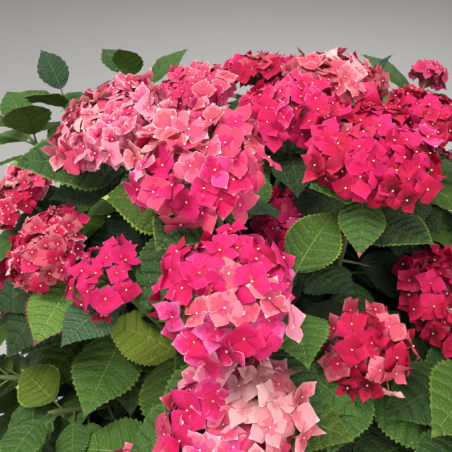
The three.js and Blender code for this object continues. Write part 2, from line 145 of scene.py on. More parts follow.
# How far chance moves a shoot of a ring
RING_REACH = 0.05
RING_HEIGHT = 22
RING_ANGLE = 5
# Leaves that stand out: shoot, distance below its top, compass angle, rise, length, droop, looks
SEEN_LEAVES = [
    ("bloom_pale_left", 35, 200, 30, 165, 35, "broad_green"),
    ("bloom_middle", 50, 170, 20, 135, 35, "yellow_tip"),
    ("bloom_middle", 20, 240, 20, 105, 35, "dark_yellow_edge"),
    ("bloom_left_upper", 190, 90, 45, 135, 15, "bluish"),
    ("bloom_left", 15, 255, 20, 125, 15, "burnt_edge"),
    ("bloom_left_upper", 220, 230, 30, 135, 55, "painted_sheen_mid"),
    ("bloom_young", 225, 160, 30, 145, 35, "bright_red_fleck"),
    ("bloom_left", 170, 255, 0, 165, 15, "deep_veined"),
    ("bloom_skirt_8", 125, 240, 0, 125, 35, "olive"),
    ("shoot_low_left", 30, 135, 0, 115, 15, "bright"),
    ("bloom_skirt_8", 65, 250, 20, 145, 15, "bluish"),
    ("shoot_middle", 10, 50, 45, 105, 35, "sunlit"),
    ("bloom_hidden", 45, 305, 20, 125, 15, "painted_sheen_mid"),
    ("shoot_middle", 70, 280, 35, 115, 55, "fresh"),
    ("shoot_middle_back", 155, 290, -25, 135, 55, "pink_edge"),
    ("bloom_right", 70, 305, 20, 115, 15, "dark_yellow_edge"),
    ("bloom_top_middle", 135, 50, 30, 135, 55, "very_dark"),
    ("bloom_right", 10, 225, 30, 95, 15, "dark_yellow_edge"),
    ("bloom_middle", 45, 50, 0, 115, 55, "bluish"),
    ("bloom_far_right", 85, 290, 10, 115, 15, "very_dark"),
]

# Finer growth, which only this script adds, in the forms of the lists above
MORE_FLOWERING = [(36, 74, 0.5)] + [(down, 82, 0.95) for down in range(86, 330, 22)]
MORE_LEAFY = [(50, 58, 0.6)] + [(down, 78, 0.95) for down in range(100, 320, 22)]
MORE_FIRST_PAIR = 4
MORE_APART = 30  # between the middles of two blades, where one is of the finer growth
MORE_LOWEST = 45
MORE_SEEN_KEY = 60
# The very_dark leaves, here and above, are painted shade: the darkest greens, set where the shrub's gaps
# lie in deep shade
MORE_SEEN_LEAVES = [
    ("bloom_right", 2, 262, 0, 90, 55, "pink_edge"),
    ("bloom_top_middle", 4, 272, 12, 96, 50, "very_dark"),
    ("bloom_young", 10, 235, 16, 96, 38, "painted_sheen_mid"),
    ("bloom_left_upper", 55, 135, 55, 92, 35, "very_dark"),
    ("bloom_far_right", 40, 262, 0, 120, 40, "very_dark"),
    ("bloom_left", 34, 226, -8, 122, 50, "very_dark"),
    ("bloom_left", 24, 200, 5, 125, 50, "very_dark"),
    ("bloom_left", 12, 221, -18, 140, 42, "very_dark"),
    ("bloom_left", 50, 224, -16, 125, 15, "very_dark"),
    ("bloom_pale_left", 30, 192, -4, 112, 15, "very_dark"),
    ("bloom_top_middle", 62, 318, 4, 128, 30, "very_dark"),
]

# The photograph's view: the camera's place, how far it looks down, and its focal length in pixels
CAMERA_AT = np.array([-120.0, -930.0, 1230.0])
CAMERA_DOWN = 34
FOCAL = 638
PICTURE = 452
SENSOR = 36
COVER_NEAR = 13  # pixels
COVER_AHEAD = 4  # millimetres
COVER_MOST = 2  # spots of a seen leaf or head that another leaf may cover


def vary(key, draw):
    """A number from 0 to 1 that only depends on its two keys."""
    s = math.sin(key * 12.9898 + draw * 78.233) * 43758.5453
    return s - math.floor(s)


def spread(most, key, draw):
    return (2 * vary(key, draw) - 1) * most


def pick(items, chance):
    return items[int(chance * len(items))]


def level(angle, reach=1.0):
    turn = math.radians(angle)
    return np.array([math.cos(turn) * reach, math.sin(turn) * reach, 0.0])


def unit(v):
    return v / np.linalg.norm(v)


def smooth(x, low, high):
    t = np.clip((np.asarray(x, float) - low) / (high - low), 0, 1)
    return t * t * (3 - 2 * t)


def tall_of(way):
    """How tall a head is for its width, above its widest ring and below it."""
    return np.where(way[..., 2] > 0, HEAD_RISE, HEAD_SINK)


def turned_to(axis):
    """A matrix whose columns are x, y and z of a frame that stands on axis."""
    cross = np.cross(UP, axis)
    dot = float(np.dot(UP, axis))
    k = np.array([[0, -cross[2], cross[1]], [cross[2], 0, -cross[0]], [-cross[1], cross[0], 0]])
    return np.eye(3) + k + k @ k / (1 + dot)


def spiral(count, lowest, turn, upward=1):
    """Even directions over a ball down to a latitude, or with more of them near the top (below 1)."""
    low = math.sin(math.radians(lowest))
    i = np.arange(count)
    z = low + ((i + 0.5) / count) ** upward * (1 - low)
    angle = i * GOLDEN_TURN + turn
    flat = np.sqrt(1 - z**2)
    return np.stack([np.cos(angle) * flat, np.sin(angle) * flat, z], axis=1)


class Curve:
    """A Bezier curve with points and tangents at even shares of its length."""

    DIVISIONS = 200

    def __init__(self, *corners):
        self.corners = [np.array(c, float) for c in corners]
        spots = self.at(np.linspace(0, 1, self.DIVISIONS + 1))
        steps = np.linalg.norm(np.diff(spots, axis=0), axis=1)
        self.lengths = np.concatenate([[0], np.cumsum(steps)])
        self.length = self.lengths[-1]

    def at(self, t):
        t = np.atleast_1d(t)[:, None]
        rest = list(self.corners)
        while len(rest) > 1:
            rest = [a + (b - a) * t for a, b in zip(rest, rest[1:])]
        return rest[0]

    def even(self, share):
        times = np.linspace(0, 1, self.DIVISIONS + 1)
        return np.interp(np.atleast_1d(share) * self.length, self.lengths, times)

    def point(self, share):
        return self.at(self.even(share))[0]

    def tangent(self, share):
        t = self.even(share)
        return unit((self.at(np.minimum(t + 1e-4, 1)) - self.at(np.maximum(t - 1e-4, 0)))[0])


def stem_spot(curve, down):
    """The point at a distance below a stem's top, in the middle of its straight pieces."""
    steps = (1 - down / curve.length) * TWIG["steps"]
    first = min(math.floor(steps), TWIG["steps"] - 1)
    below = curve.point(first / TWIG["steps"])
    above = curve.point((first + 1) / TWIG["steps"])
    return below + (above - below) * (steps - first)


# The rule: shoots, canes, stems and leaves
class Shoot:
    """A shoot, with a flower head on it where across isn't 0."""

    def __init__(self, key, name, at, across, turn):
        self.key, self.name, self.across, self.turn = key, name, across, turn
        self.at = np.array(at, float)
        low = across / 2 * HEAD_SINK + HEAD_STALK if across else 0
        self.axis = unit(self.at - UP * LEAN_FROM)
        self.top = self.at - self.axis * low
        self.pairs = PAIRS_FLOWERING if across else PAIRS_LEAFY
        self.more_pairs = MORE_FLOWERING if across else MORE_LEAFY


class Sector:
    """A cane and the shoots that it carries."""

    def __init__(self, name, angle, start):
        tilt = math.radians(start["tilt"])
        self.name, self.shoots = name, []
        self.foot = level(angle, start["reach"]) + UP * start["height"]
        self.way = level(angle, math.sin(tilt)) + UP * math.cos(tilt)


@dataclass
class Leaf:
    """A leaf: its pair counts down the stem, and is below 0 where the leaf is listed."""

    root: np.ndarray
    key: int
    pair: int
    angle: float
    rise: float
    length: float
    droop: float
    looks: str
    sector: str


def all_shoots():
    shoots = [Shoot(key, *row) for key, row in enumerate(SEEN_SHOOTS)]
    for ring, reach, height, across, start, step, count in SHOOT_RINGS:
        for i in range(count):
            key = len(shoots)
            angle = start + i * step + spread(RING_ANGLE, key, 1)
            at = level(angle, reach * (1 + spread(RING_REACH, key, 2)))
            at[2] = height + spread(RING_HEIGHT, key, 3)
            shoots.append(Shoot(key, f"{ring}_{i + 1}", at, across, 360 * vary(key, 4)))
    return shoots


def all_sectors(shoots):
    sectors = {}
    for names, start in ((INNER_NAMES, INNER), (OUTER_NAMES, OUTER)):
        for i, name in enumerate(names):
            sectors[name] = Sector(name, (i + 0.5) * 360 / len(names), start)
    for shoot in shoots:
        x, y, z = shoot.at
        lean = math.degrees(math.atan2(math.hypot(x, y), z))
        names = INNER_NAMES if lean < INNER_LEAN else OUTER_NAMES
        turn = math.degrees(math.atan2(y, x)) % 360
        shoot.sector = names[int(turn * len(names) / 360)]
        sectors[shoot.sector].shoots.append(shoot)
    for sector in sectors.values():
        foot = sector.foot
        aim = sum(shoot.top for shoot in sector.shoots) / len(sector.shoots)
        fork = foot + (aim - foot) * FORK_SHARE
        bend = foot + sector.way * np.linalg.norm(fork - foot) / 2
        sector.curve = Curve(foot, bend, fork)
    return sectors


def stem_curves(shoot, fork):
    reach = np.linalg.norm(shoot.top - fork)
    side = unit(np.cross(shoot.axis, UP))
    early = fork + (shoot.top - fork) * TWIG["leave"]
    late = shoot.top - shoot.axis * reach * TWIG["enter"]
    return [Curve(fork, early + side * bow, late, shoot.top) for bow in BOWS]


def corner_tree(node):
    """The corners of a packed mass, in millimetres, for nearest-point questions."""
    corners = [v.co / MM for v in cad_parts[node].data.vertices]
    tree = KDTree(len(corners))
    for i, corner in enumerate(corners):
        tree.insert(corner, i)
    tree.balance()
    return tree


def taken_curve(shoot, fork, tree):
    """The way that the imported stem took: the one whose rings of corners are in the mass."""
    best = None
    for curve in stem_curves(shoot, fork):
        miss = 0
        for step in range(1, TWIG["steps"]):
            share = step / TWIG["steps"]
            radius = TWIG["foot"] + (TWIG["tip"] - TWIG["foot"]) * share
            near = tree.find_n(Vector(curve.point(share)), 3)
            miss += sum(abs(distance - radius) for _, _, distance in near)
        if best is None or miss < best[0] - 1e-3:
            best = (miss, curve)
    return best[1]


def leaf_line(leaf, distance):
    """Points along a leaf, and the way that it runs there: a straight stalk, then an arc."""
    out = level(leaf.angle)
    start = math.radians(leaf.rise)
    bend = math.radians(leaf.droop) / leaf.length
    distance = np.asarray(distance, float)
    tilt = start - bend * np.maximum(distance - LEAF_STALK, 0)
    stalk = np.minimum(distance, LEAF_STALK)
    outward = stalk * math.cos(start) + (math.sin(start) - np.sin(tilt)) / bend
    upward = stalk * math.sin(start) + (np.cos(tilt) - math.cos(start)) / bend
    spots = leaf.root + outward[..., None] * out + upward[..., None] * UP
    heading = np.cos(tilt)[..., None] * out + np.sin(tilt)[..., None] * UP
    return spots, heading


def leaf_spot(leaf, share):
    """The middle of a blade (0.5) or its tip (1)."""
    return leaf_line(leaf, np.array([LEAF_STALK + share * leaf.length]))[0][0]


def pair_leaves(shoot, pairs, first_pair):
    leaves = []
    curve = shoot.curve
    for pair, (down, pair_angle, scale) in enumerate(pairs, first_pair):
        if down > curve.length - PAIR_CLEAR:
            continue
        root = stem_spot(curve, down)
        if root[2] < PAIR_LOWEST:
            continue
        axis = curve.tangent(1 - down / curve.length)
        flat = unit(np.cross(axis, UP))
        other = np.cross(flat, axis)
        for half in (0, 1):
            key = shoot.key * 20 + pair * 2 + half
            turn = math.radians(shoot.turn + pair * 90 + half * 180 + spread(PAIR_TURN, key, 5))
            side = flat * math.cos(turn) + other * math.sin(turn)
            lean = math.radians(pair_angle + spread(PAIR_ANGLE, key, 6))
            way = axis * math.cos(lean) + side * math.sin(lean)
            angle = math.degrees(math.atan2(way[1], way[0]))
            rise = min(math.degrees(math.asin(np.clip(way[2], -1, 1))), STEEPEST)
            length = LEAF_LENGTH * scale * (1 + spread(LEAF_SPREAD, key, 7))
            droop = LEAF_DROOP + spread(PAIR_DROOP, key, 8)
            leaves.append(Leaf(root, key, pair, angle, rise, length, droop, "", shoot.sector))
    return leaves


def placed_leaves(shoot, rows, pair, first_key=0):
    """The leaves of a list that are on one shoot."""
    leaves = []
    for key, (on, down, angle, rise, length, droop, looks) in enumerate(rows, first_key):
        if on == shoot.name:
            root = stem_spot(shoot.curve, down)
            leaves.append(Leaf(root, key, pair, angle, rise, length, droop, looks, shoot.sector))
    return leaves


def held_ways(leaf):
    for turned, raised, scaled in OTHER_WAYS:
        rise = min(leaf.rise + raised, STEEPEST)
        yield replace(leaf, angle=leaf.angle + turned, rise=rise, length=leaf.length * scaled)


def packed_way(leaf, tree):
    """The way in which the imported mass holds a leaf, or None where it hasn't got the leaf."""
    for held in held_ways(leaf):
        if tree.find(Vector(leaf_spot(held, 1)))[2] < PACKED_WITHIN:
            return held
    return None


def seen_at(points):
    """Where points are in the photograph, in pixels, and how far from the camera."""
    down = math.radians(CAMERA_DOWN)
    away = (points - CAMERA_AT) @ np.array([0, math.cos(down), -math.sin(down)])
    upward = (points - CAMERA_AT) @ np.array([0, math.sin(down), math.cos(down)])
    x = (points[..., 0] - CAMERA_AT[0]) / away * FOCAL
    return np.stack([x, -upward / away * FOCAL], axis=-1), away


def blade_spots(leaf):
    """Fifteen spots over a blade."""
    u = np.repeat([0.12, 0.32, 0.52, 0.72, 0.92], 3)
    v = np.tile([-0.6, 0, 0.6], 5)
    spots, _ = leaf_line(leaf, LEAF_STALK + u * leaf.length)
    half = leaf.length * LEAF_WIDTH / 2 * np.sin(math.pi * u**WIDEST)
    return spots + (v * half)[:, None] * level(leaf.angle + 90)


def head_spots(shoot):
    """Spots over the side of a head that the photograph shows."""
    ways = spiral(40, -10, shoot.key)
    shape = np.stack([ways[:, 0], ways[:, 1], ways[:, 2] * tall_of(ways)], axis=1) * 0.85
    spots = shoot.at + shape @ turned_to(shoot.axis).T * shoot.across / 2
    return spots[(spots - shoot.at) @ (CAMERA_AT - shoot.at) > 0]


def uncovered(leaves, shoots):
    """The leaves without those that hide what the photograph shows."""
    targets = [blade_spots(leaf) for leaf in leaves if leaf.looks]
    targets += [head_spots(shoot) for shoot in shoots[: len(SEEN_SHOOTS)] if shoot.across]
    targets = [seen_at(spots) for spots in targets]
    kept = []
    for leaf in leaves:
        places, away = seen_at(blade_spots(leaf))
        covered = 0
        for target, target_away in targets:
            apart = np.linalg.norm(target[:, None] - places[None], axis=2)
            nearer = away[None] < target_away[:, None] - COVER_AHEAD
            covered = max(covered, int(np.sum(np.any((apart < COVER_NEAR) & nearer, axis=1))))
        if leaf.looks or covered <= COVER_MOST:
            kept.append(leaf)
    return kept


def add_finer(leaves, finer):
    """Adds each finer leaf in the first way that keeps it inside the part and clear of the others."""
    middles = [leaf_spot(leaf, 0.5) for leaf in leaves]
    low, high = (np.array(corner) / MM for corner in cad_box)
    for leaf in sorted(finer, key=lambda leaf: (leaf.pair, leaf.key)):
        for held in held_ways(leaf):
            middle = leaf_spot(held, 0.5)
            tip = leaf_spot(held, 1)
            inside = np.all(tip > low) and np.all(tip < high) and tip[2] > MORE_LOWEST
            if inside and np.min(np.linalg.norm(np.array(middles) - middle, axis=1)) > MORE_APART:
                middles.append(middle)
                leaves.append(held)
                break


def grow():
    """Every stem and leaf of the shrub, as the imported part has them, and the finer leaves."""
    shoots = all_shoots()
    sectors = all_sectors(shoots)
    leaves, finer = [], []
    for sector in sectors.values():
        end, way = sector.curve.point(1), sector.curve.tangent(1)
        tree = corner_tree("leaves_" + sector.name)
        sector.collar = (end + way * GAP, end + way * TWIG["collar"])
        fork = end + way * TWIG["collar"] * TWIG["fork"]
        for shoot in sector.shoots:
            shoot.curve = taken_curve(shoot, fork, tree)
            own = pair_leaves(shoot, shoot.pairs, 0)
            own += placed_leaves(shoot, SEEN_LEAVES, -1)
            leaves += placed_leaves(shoot, MORE_SEEN_LEAVES, -2, MORE_SEEN_KEY)
            for leaf in own:
                found = packed_way(leaf, tree)
                (leaves if found else finer).append(found or leaf)
            finer += pair_leaves(shoot, shoot.more_pairs, MORE_FIRST_PAIR)
    add_finer(leaves, finer)
    return shoots, sectors, uncovered(leaves, shoots)


# Meshes
MOST_TRIANGLES = 190000
SPARE_TRIANGLES = 2000


def triangles(part):
    faces = part[1]
    return int(np.sum(np.where(faces[:, 2] == faces[:, 3], 1, 2)))


class Heap:
    """Corners and faces of one kind of thing, made into pieces with a limited number of triangles."""

    def __init__(self):
        self.parts = []

    def add(self, owner, corners, faces, slots=None):
        """corners in mm, faces with four corners each (the last two the same in a triangle)."""
        slots = np.zeros(len(faces), int) if slots is None else slots
        self.parts.append((np.asarray(corners, float), np.asarray(faces), slots, owner))

    def pieces(self, name, materials):
        """Objects under the limit, with the nodes that each one stands for."""
        total = sum(triangles(part) for part in self.parts)
        share = total / max(1, math.ceil(total / MOST_TRIANGLES)) + SPARE_TRIANGLES
        batches, size = [[]], 0
        for part in self.parts:
            if batches[-1] and size + triangles(part) > share:
                batches.append([])
                size = 0
            batches[-1].append(part)
            size += triangles(part)
        return [make_piece(f"{name}_{i}", batch, materials) for i, batch in enumerate(batches, 1)]


def make_piece(name, parts, materials):
    offsets = np.cumsum([0] + [len(part[0]) for part in parts])
    corners = np.concatenate([part[0] for part in parts]) * MM
    faces = np.concatenate([part[1] + offset for part, offset in zip(parts, offsets)])
    slots = np.concatenate([part[2] for part in parts])
    flat = faces[:, 2] == faces[:, 3]
    sizes = np.where(flat, 3, 4)
    keep = np.ones(faces.shape, bool)
    keep[flat, 3] = False
    mesh = bpy.data.meshes.new(name)
    mesh.vertices.add(len(corners))
    mesh.vertices.foreach_set("co", corners.astype(np.float32).ravel())
    mesh.loops.add(int(sizes.sum()))
    mesh.loops.foreach_set("vertex_index", faces[keep].astype(np.int32))
    mesh.polygons.add(len(faces))
    starts = np.concatenate([[0], np.cumsum(sizes)[:-1]])
    mesh.polygons.foreach_set("loop_start", starts.astype(np.int32))
    for material in materials:
        mesh.materials.append(material)
    mesh.polygons.foreach_set("material_index", slots.astype(np.int32))
    mesh.polygons.foreach_set("use_smooth", np.ones(len(faces), bool))
    mesh.update(calc_edges=True)
    return in_scene(bpy.data.objects.new(name, mesh)), sorted({part[3] for part in parts})


def in_scene(thing):
    """Adds an object to the scene, and gives it back."""
    bpy.context.scene.collection.objects.link(thing)
    return thing


def grid_faces(rows, columns, closed=False):
    """Four-cornered faces of a grid whose corners run row by row."""
    across = columns if closed else columns - 1
    i, j = np.meshgrid(np.arange(rows - 1), np.arange(across), indexing="ij")
    a = i * columns + j
    b = i * columns + (j + 1) % columns
    return np.stack([a, b, b + columns, a + columns], axis=-1).reshape(-1, 4)


def turns_round(sides):
    """The angles of the corners of a ring."""
    return np.arange(sides) * 2 * math.pi / sides


def tube(points, radii, sides, wobble=None):
    """A tube along points, without ends, with wobble as extra radius for each corner."""
    points = np.asarray(points, float)
    ways = np.gradient(points, axis=0)
    ways /= np.linalg.norm(ways, axis=1)[:, None]
    side = np.cross(ways[0], UP if abs(ways[0][2]) < 0.9 else np.array([1.0, 0, 0]))
    corners = []
    turns = turns_round(sides)
    for i, way in enumerate(ways):
        side = unit(side - way * np.dot(side, way))
        other = np.cross(way, side)
        radius = np.full(sides, radii[i]) if wobble is None else radii[i] * (1 + wobble[i])
        out = (np.cos(turns) * radius)[:, None] * side
        corners.append(points[i] + out + (np.sin(turns) * radius)[:, None] * other)
    return np.concatenate(corners), grid_faces(len(points), sides, closed=True)


def capped(corners, faces, sides):
    """The tube with a corner in the middle of its last ring."""
    last = corners[-sides:]
    tip = len(corners)
    ring = np.arange(tip - sides, tip)
    cap = np.stack([ring, np.roll(ring, -1), np.full(sides, tip), np.full(sides, tip)], axis=-1)
    return np.vstack([corners, last.mean(axis=0)]), np.vstack([faces, cap])


def limb(points, radii, sides, wobble=None):
    """A tube with its far end closed."""
    return capped(*tube(points, radii, sides, wobble), sides)


def ridge(away, size, length):
    """A soft ridge, for points that are some way from its middle."""
    return size * np.exp(-((away / length) ** 2))


# Materials
LEAF_FINISH = {"rough": (0.4, 0.62), "grain": 60, "net": 170, "depth": 0.0018, "specular": 0.26}
SEPAL_FINISH = {"rough": (0.55, 0.75), "grain": 80, "relief": 420, "depth": 0.0004, "specular": 0.14}
STEM_FINISH = {"rough": (0.5, 0.7), "grain": 90, "relief": 380, "depth": 0.0005}
STEM_COLOUR = (92, 104, 56)
# Colours of the bark with their places between dark and light, and those that patches shade it with
BARK_COLOURS = [(0.34, (66, 50, 36)), (0.68, (176, 152, 122))]
BARK_SHADES = [(0.35, (140, 128, 112)), (0.65, (255, 250, 240))]
BARK_STRETCH = (1, 1, 0.16)
BARK_STRIPS = 260
BARK_PATCHES = 28
# Places of the colour sockets of a mix node
MIX_SHARE, MIX_FIRST, MIX_SECOND, MIX_RESULT = 0, 6, 7, 2


def linear(colour):
    c = np.array(colour, float) / 255
    return tuple(np.where(c <= 0.04045, c / 12.92, ((c + 0.055) / 1.055) ** 2.4)) + (1.0,)


def new_material(name):
    material = bpy.data.materials.new(name)
    material.use_nodes = True
    return material, material.node_tree.nodes["Principled BSDF"]


def set_inputs(node, inputs):
    """Sets a node's inputs: a plain value on the socket itself, or a link from an output."""
    for name, value in inputs.items():
        if isinstance(value, bpy.types.NodeSocket):
            node.id_data.links.new(value, node.inputs[name])
        else:
            node.inputs[name].default_value = value


def new_node(tree, kind, inputs, output, **settings):
    """Adds a node, and gives one of its outputs."""
    node = tree.nodes.new("ShaderNode" + kind)
    for name, value in settings.items():
        setattr(node, name, value)
    set_inputs(node, inputs)
    return node.outputs[output]


def noise(tree, where, scale, detail):
    return new_node(tree, "TexNoise", {"Vector": where, "Scale": scale, "Detail": detail}, "Fac")


def ranged(tree, value, low, high):
    """A noise, which is mostly from 0.3 to 0.7, turned into a value from low to high."""
    inputs = {"Value": value, "From Min": 0.3, "From Max": 0.7, "To Min": low, "To Max": high}
    return new_node(tree, "MapRange", inputs, "Result")


def net_height(tree, where, scale):
    """Height of a net of fine lines, for the small veins of a leaf."""
    inputs = {"Vector": where, "Scale": scale}
    cells = new_node(tree, "TexVoronoi", inputs, "Distance", feature="DISTANCE_TO_EDGE")
    return new_node(tree, "MapRange", {"Value": cells, "From Max": 0.25}, "Result")


def bump(tree, height, strength, depth):
    inputs = {"Height": height, "Strength": strength, "Distance": depth}
    return new_node(tree, "Bump", inputs, "Normal")


def ramp(tree, value, colours):
    node = tree.nodes.new("ShaderNodeValToRGB")
    for element, (place, colour) in zip(node.color_ramp.elements, colours):
        element.position = place
        element.color = linear(colour)
    set_inputs(node, {"Fac": value})
    return node.outputs["Color"]


def plant_material(name, colour, rough, grain, depth, relief=0, net=0, specular=0.5):
    """A plain base colour, with a fine grain in its roughness and a relief of grain or of a net."""
    material, shader = new_material(name)
    tree = material.node_tree
    where = new_node(tree, "TexCoord", {}, "Object")
    height = net_height(tree, where, net) if net else noise(tree, where, relief, 4)
    inputs = {
        "Base Color": linear(colour),
        "Specular IOR Level": specular,
        "Roughness": ranged(tree, noise(tree, where, grain, 3), *rough),
        "Normal": bump(tree, height, 0.6, depth),
    }
    set_inputs(shader, inputs)
    return material


def bark_material():
    """Grey-brown bark in upright strips, shaded in patches."""
    material, shader = new_material("bark")
    tree = material.node_tree
    where = new_node(tree, "TexCoord", {}, "Object")
    upright = new_node(tree, "Mapping", {"Vector": where, "Scale": BARK_STRETCH}, "Vector")
    strips = noise(tree, upright, BARK_STRIPS, 6)
    inputs = {
        MIX_SHARE: 0.5,
        MIX_FIRST: ramp(tree, strips, BARK_COLOURS),
        MIX_SECOND: ramp(tree, noise(tree, where, BARK_PATCHES, 3), BARK_SHADES),
    }
    colour = new_node(tree, "Mix", inputs, MIX_RESULT, data_type="RGBA", blend_type="MULTIPLY")
    rough = ranged(tree, strips, 0.95, 0.75)
    relief = bump(tree, strips, 0.9, 0.0012)
    set_inputs(shader, {"Base Color": colour, "Roughness": rough, "Normal": relief})
    return material


# Leaves
LEAF_TONES = {
    # The first tone is painted deep shade: near black, for leaves deep inside the shrub
    "night": (20, 28, 13),
    "green_1": (34, 50, 26),
    "green_2": (44, 64, 34),
    "green_3": (56, 84, 38),
    "green_4": (70, 102, 44),
    "green_5": (84, 118, 48),
    "green_6": (102, 136, 56),
    "green_7": (122, 154, 70),
    "green_8": (146, 172, 100),
    # The blue tones are greens greyed towards blue: the leaf's own green with a painted sheen of the sky
    # on it
    "blue_1": (36, 56, 36),
    "blue_2": (48, 74, 46),
    "blue_3": (64, 92, 60),
    "blue_4": (90, 120, 84),
    "yellow_0": (66, 91, 27),
    "yellow_1": (94, 118, 34),
    "yellow_2": (120, 142, 44),
    "yellow_3": (146, 164, 62),
    "yellow_4": (190, 192, 98),
    "burnt": (112, 72, 56),
    "rosy": (182, 104, 92),
}
LEAF_SLOTS = {name: i for i, name in enumerate(LEAF_TONES)}
# The zones of a blade, and the tones of each for every look, in the same order. The second zone,
# where the blade dips into each side vein, is painted shade, mostly a darker tone than the blade
BLADE, SHADED_GROOVE, SIDE_VEINS, EDGE, TIP, MIDRIB = range(6)
LEAF_LOOKS = {
    "broad_green": "green_3 green_2 green_3 green_5 yellow_2 green_6",
    "yellow_tip": "yellow_0 green_4 yellow_0 yellow_2 yellow_4 yellow_2",
    "dark_yellow_edge": "green_3 green_2 green_4 yellow_2 green_4 green_5",
    # The looks in blue tones, bluish and the two after burnt_edge, are painted sheen of the sky on the
    # blade's own green
    "bluish": "blue_3 blue_2 blue_4 blue_3 blue_3 blue_4",
    "burnt_edge": "green_6 green_5 green_7 burnt burnt green_8",
    "painted_sheen_dark": "blue_2 blue_1 blue_3 blue_2 blue_3 green_5",
    "painted_sheen_mid": "blue_3 blue_2 blue_4 blue_3 blue_3 green_6",
    "bright_red_fleck": "yellow_3 yellow_2 yellow_3 yellow_3 burnt yellow_4",
    "deep_veined": "green_5 green_4 green_5 green_6 green_5 green_7",
    "olive": "yellow_0 green_4 yellow_0 yellow_1 yellow_1 yellow_2",
    "bright": "yellow_1 yellow_0 yellow_2 yellow_3 yellow_3 yellow_3",
    "sunlit": "yellow_0 green_4 green_5 yellow_2 yellow_2 yellow_2",
    "fresh": "green_5 green_4 green_6 green_6 green_6 green_8",
    "pink_edge": "green_4 green_3 yellow_0 yellow_1 rosy yellow_1",
    # very_dark is painted shade: the darkest greens, for leaves in the shrub's dark gaps
    "very_dark": "green_2 green_1 green_3 green_2 green_2 green_4",
    "plain_mid": "green_4 green_3 green_4 green_5 green_5 green_6",
    "plain_deep": "green_3 green_2 green_3 green_4 green_3 green_5",
    "plain_warm": "yellow_0 green_4 yellow_1 yellow_1 yellow_1 green_7",
    # The last two looks are painted shade: dark greens for leaves inside the shrub, where shade falls
    "shade": "green_1 green_1 green_2 green_1 green_1 green_2",
    "night": "night night green_1 night night green_1",
}
# Looks that are given by chance, with the chance up to which each is given: to leaves in the open
# air, to those behind them, whose darker greens are painted shade, and to some of the small ones
OPEN_LOOKS = {"plain_mid": 0.26, "plain_deep": 0.5, "deep_veined": 0.64, "plain_warm": 0.76}
OPEN_LOOKS |= {"painted_sheen_dark": 0.88, "bluish": 0.95, "fresh": 1}
SHADE_LOOKS = {"shade": 0.7, "plain_deep": 1}
SMALL_LOOKS = {"plain_warm": 0.8, "bright": 1}
SMALL_FROM = 0.4  # below this chance a small leaf looks like the others
DIM_LOOKS = ("shade", "night")
# The height of the shrub's middle, its reach, and how far out the painted deep shade and the painted
# shade end as shares of it: leaves nearer the middle wear darker greens
BUSH_MIDDLE = 300
BUSH_REACH = 520
DEEP_SHADE_ENDS = 0.62
SHADE_ENDS = 0.8
SMALL_LEAF = 80

# A blade between two side veins: offset, share of the way, swell, and tooth (1) or notch (-1)
FINE_PATTERN = [(0, 0, 0, 1), (0.0075, 0, 0, 1), (0, 0.34, 0.9, -1)]
FINE_PATTERN += [(0, 0.58, 1, 0.9), (0, 0.82, 0.6, -1)]
MIDDLE_PATTERN = [(0, 0, 0, 1), (0.008, 0, 0, 1), (0, 0.45, 1, -1), (0, 0.8, 0.65, 0.4)]
PLAIN_PATTERN = [(0, 0, 0, 1), (0, 0.5, 1, -1)]
FINE_COLUMNS = np.array([-1, -0.945, -0.48, -0.02, 0.02, 0.48, 0.945, 1])
PLAIN_COLUMNS = np.array([-1, -0.5, 0, 0.5, 1])
LAST_VEIN = 0.88
TIP_START = 0.94
TIP_MARKS = [(TIP_START, 0, 0.8), (0.972, 0.3, -0.4), (1, 0, 0)]
VEIN_SLANT = 0.25
WIDEST = 0.82  # below 1, the widest part of a blade is nearer its stalk than its tip
TOOTH_OUT = 0.04
TOOTH_ON = 0.008
FINE_WITHIN = 1080  # from the photograph's camera
# Bends of a blade, as shares of its size: the least, and what chance adds
FOLD = (0.1, 0.1)
PUCKER = (0.025, 0.012)
WAVE = (0.012, 0.014)
WAVE_COUNT = (1.6, 1.2)
EDGE_SINK = 0.02
CRINKLE = 0.006
SIDE_BEND = 0.05
SEEN_ROLL = 24
USUAL_ROLL = 17
STRAY_ROLL = 7
# Stalk and midrib: how far along the blade they run, and radii at shares of the way
STALK_END = 0.82
STALK_RADII = ([0, 0.05, 0.9], [1.9, 1.4, 0.5])
STALK_FOOT = 1.7
STALK_SIDES = 5
STEM_POINTS = 26
STEM_SIDES = 8
STEM_NODE = (0.22, 7)
LOWER_PAIRS = MORE_FLOWERING[3:]
COLLAR_RADII = [CANE_TIP, CANE_TIP * 1.04, CANE_TIP * 0.98, CANE_TIP * 0.85]
COLLAR_SIDES = 12


def blade_zones(row, column, pattern):
    """Which zone each face of a blade is in."""
    if len(pattern) == len(PLAIN_PATTERN):
        return np.where((column == 1) | (column == 2), SHADED_GROOVE, BLADE)
    last_row, last_column = row.max(), column.max()
    midrib = last_column // 2
    inside = (column > 0) & (column < last_column)
    # The strip where the blade dips into the next side vein takes the painted shade of that groove
    zone = np.where((row % len(pattern) == len(pattern) - 1) & inside, SHADED_GROOVE, BLADE)
    tip_row = last_row + 1 - len(TIP_MARKS)
    zone[(row % len(pattern) == 0) & (row < tip_row) & inside] = SIDE_VEINS
    zone[(column == 0) | (column == last_column)] = EDGE
    zone[row >= tip_row] = TIP
    zone[column == midrib] = MIDRIB
    return zone


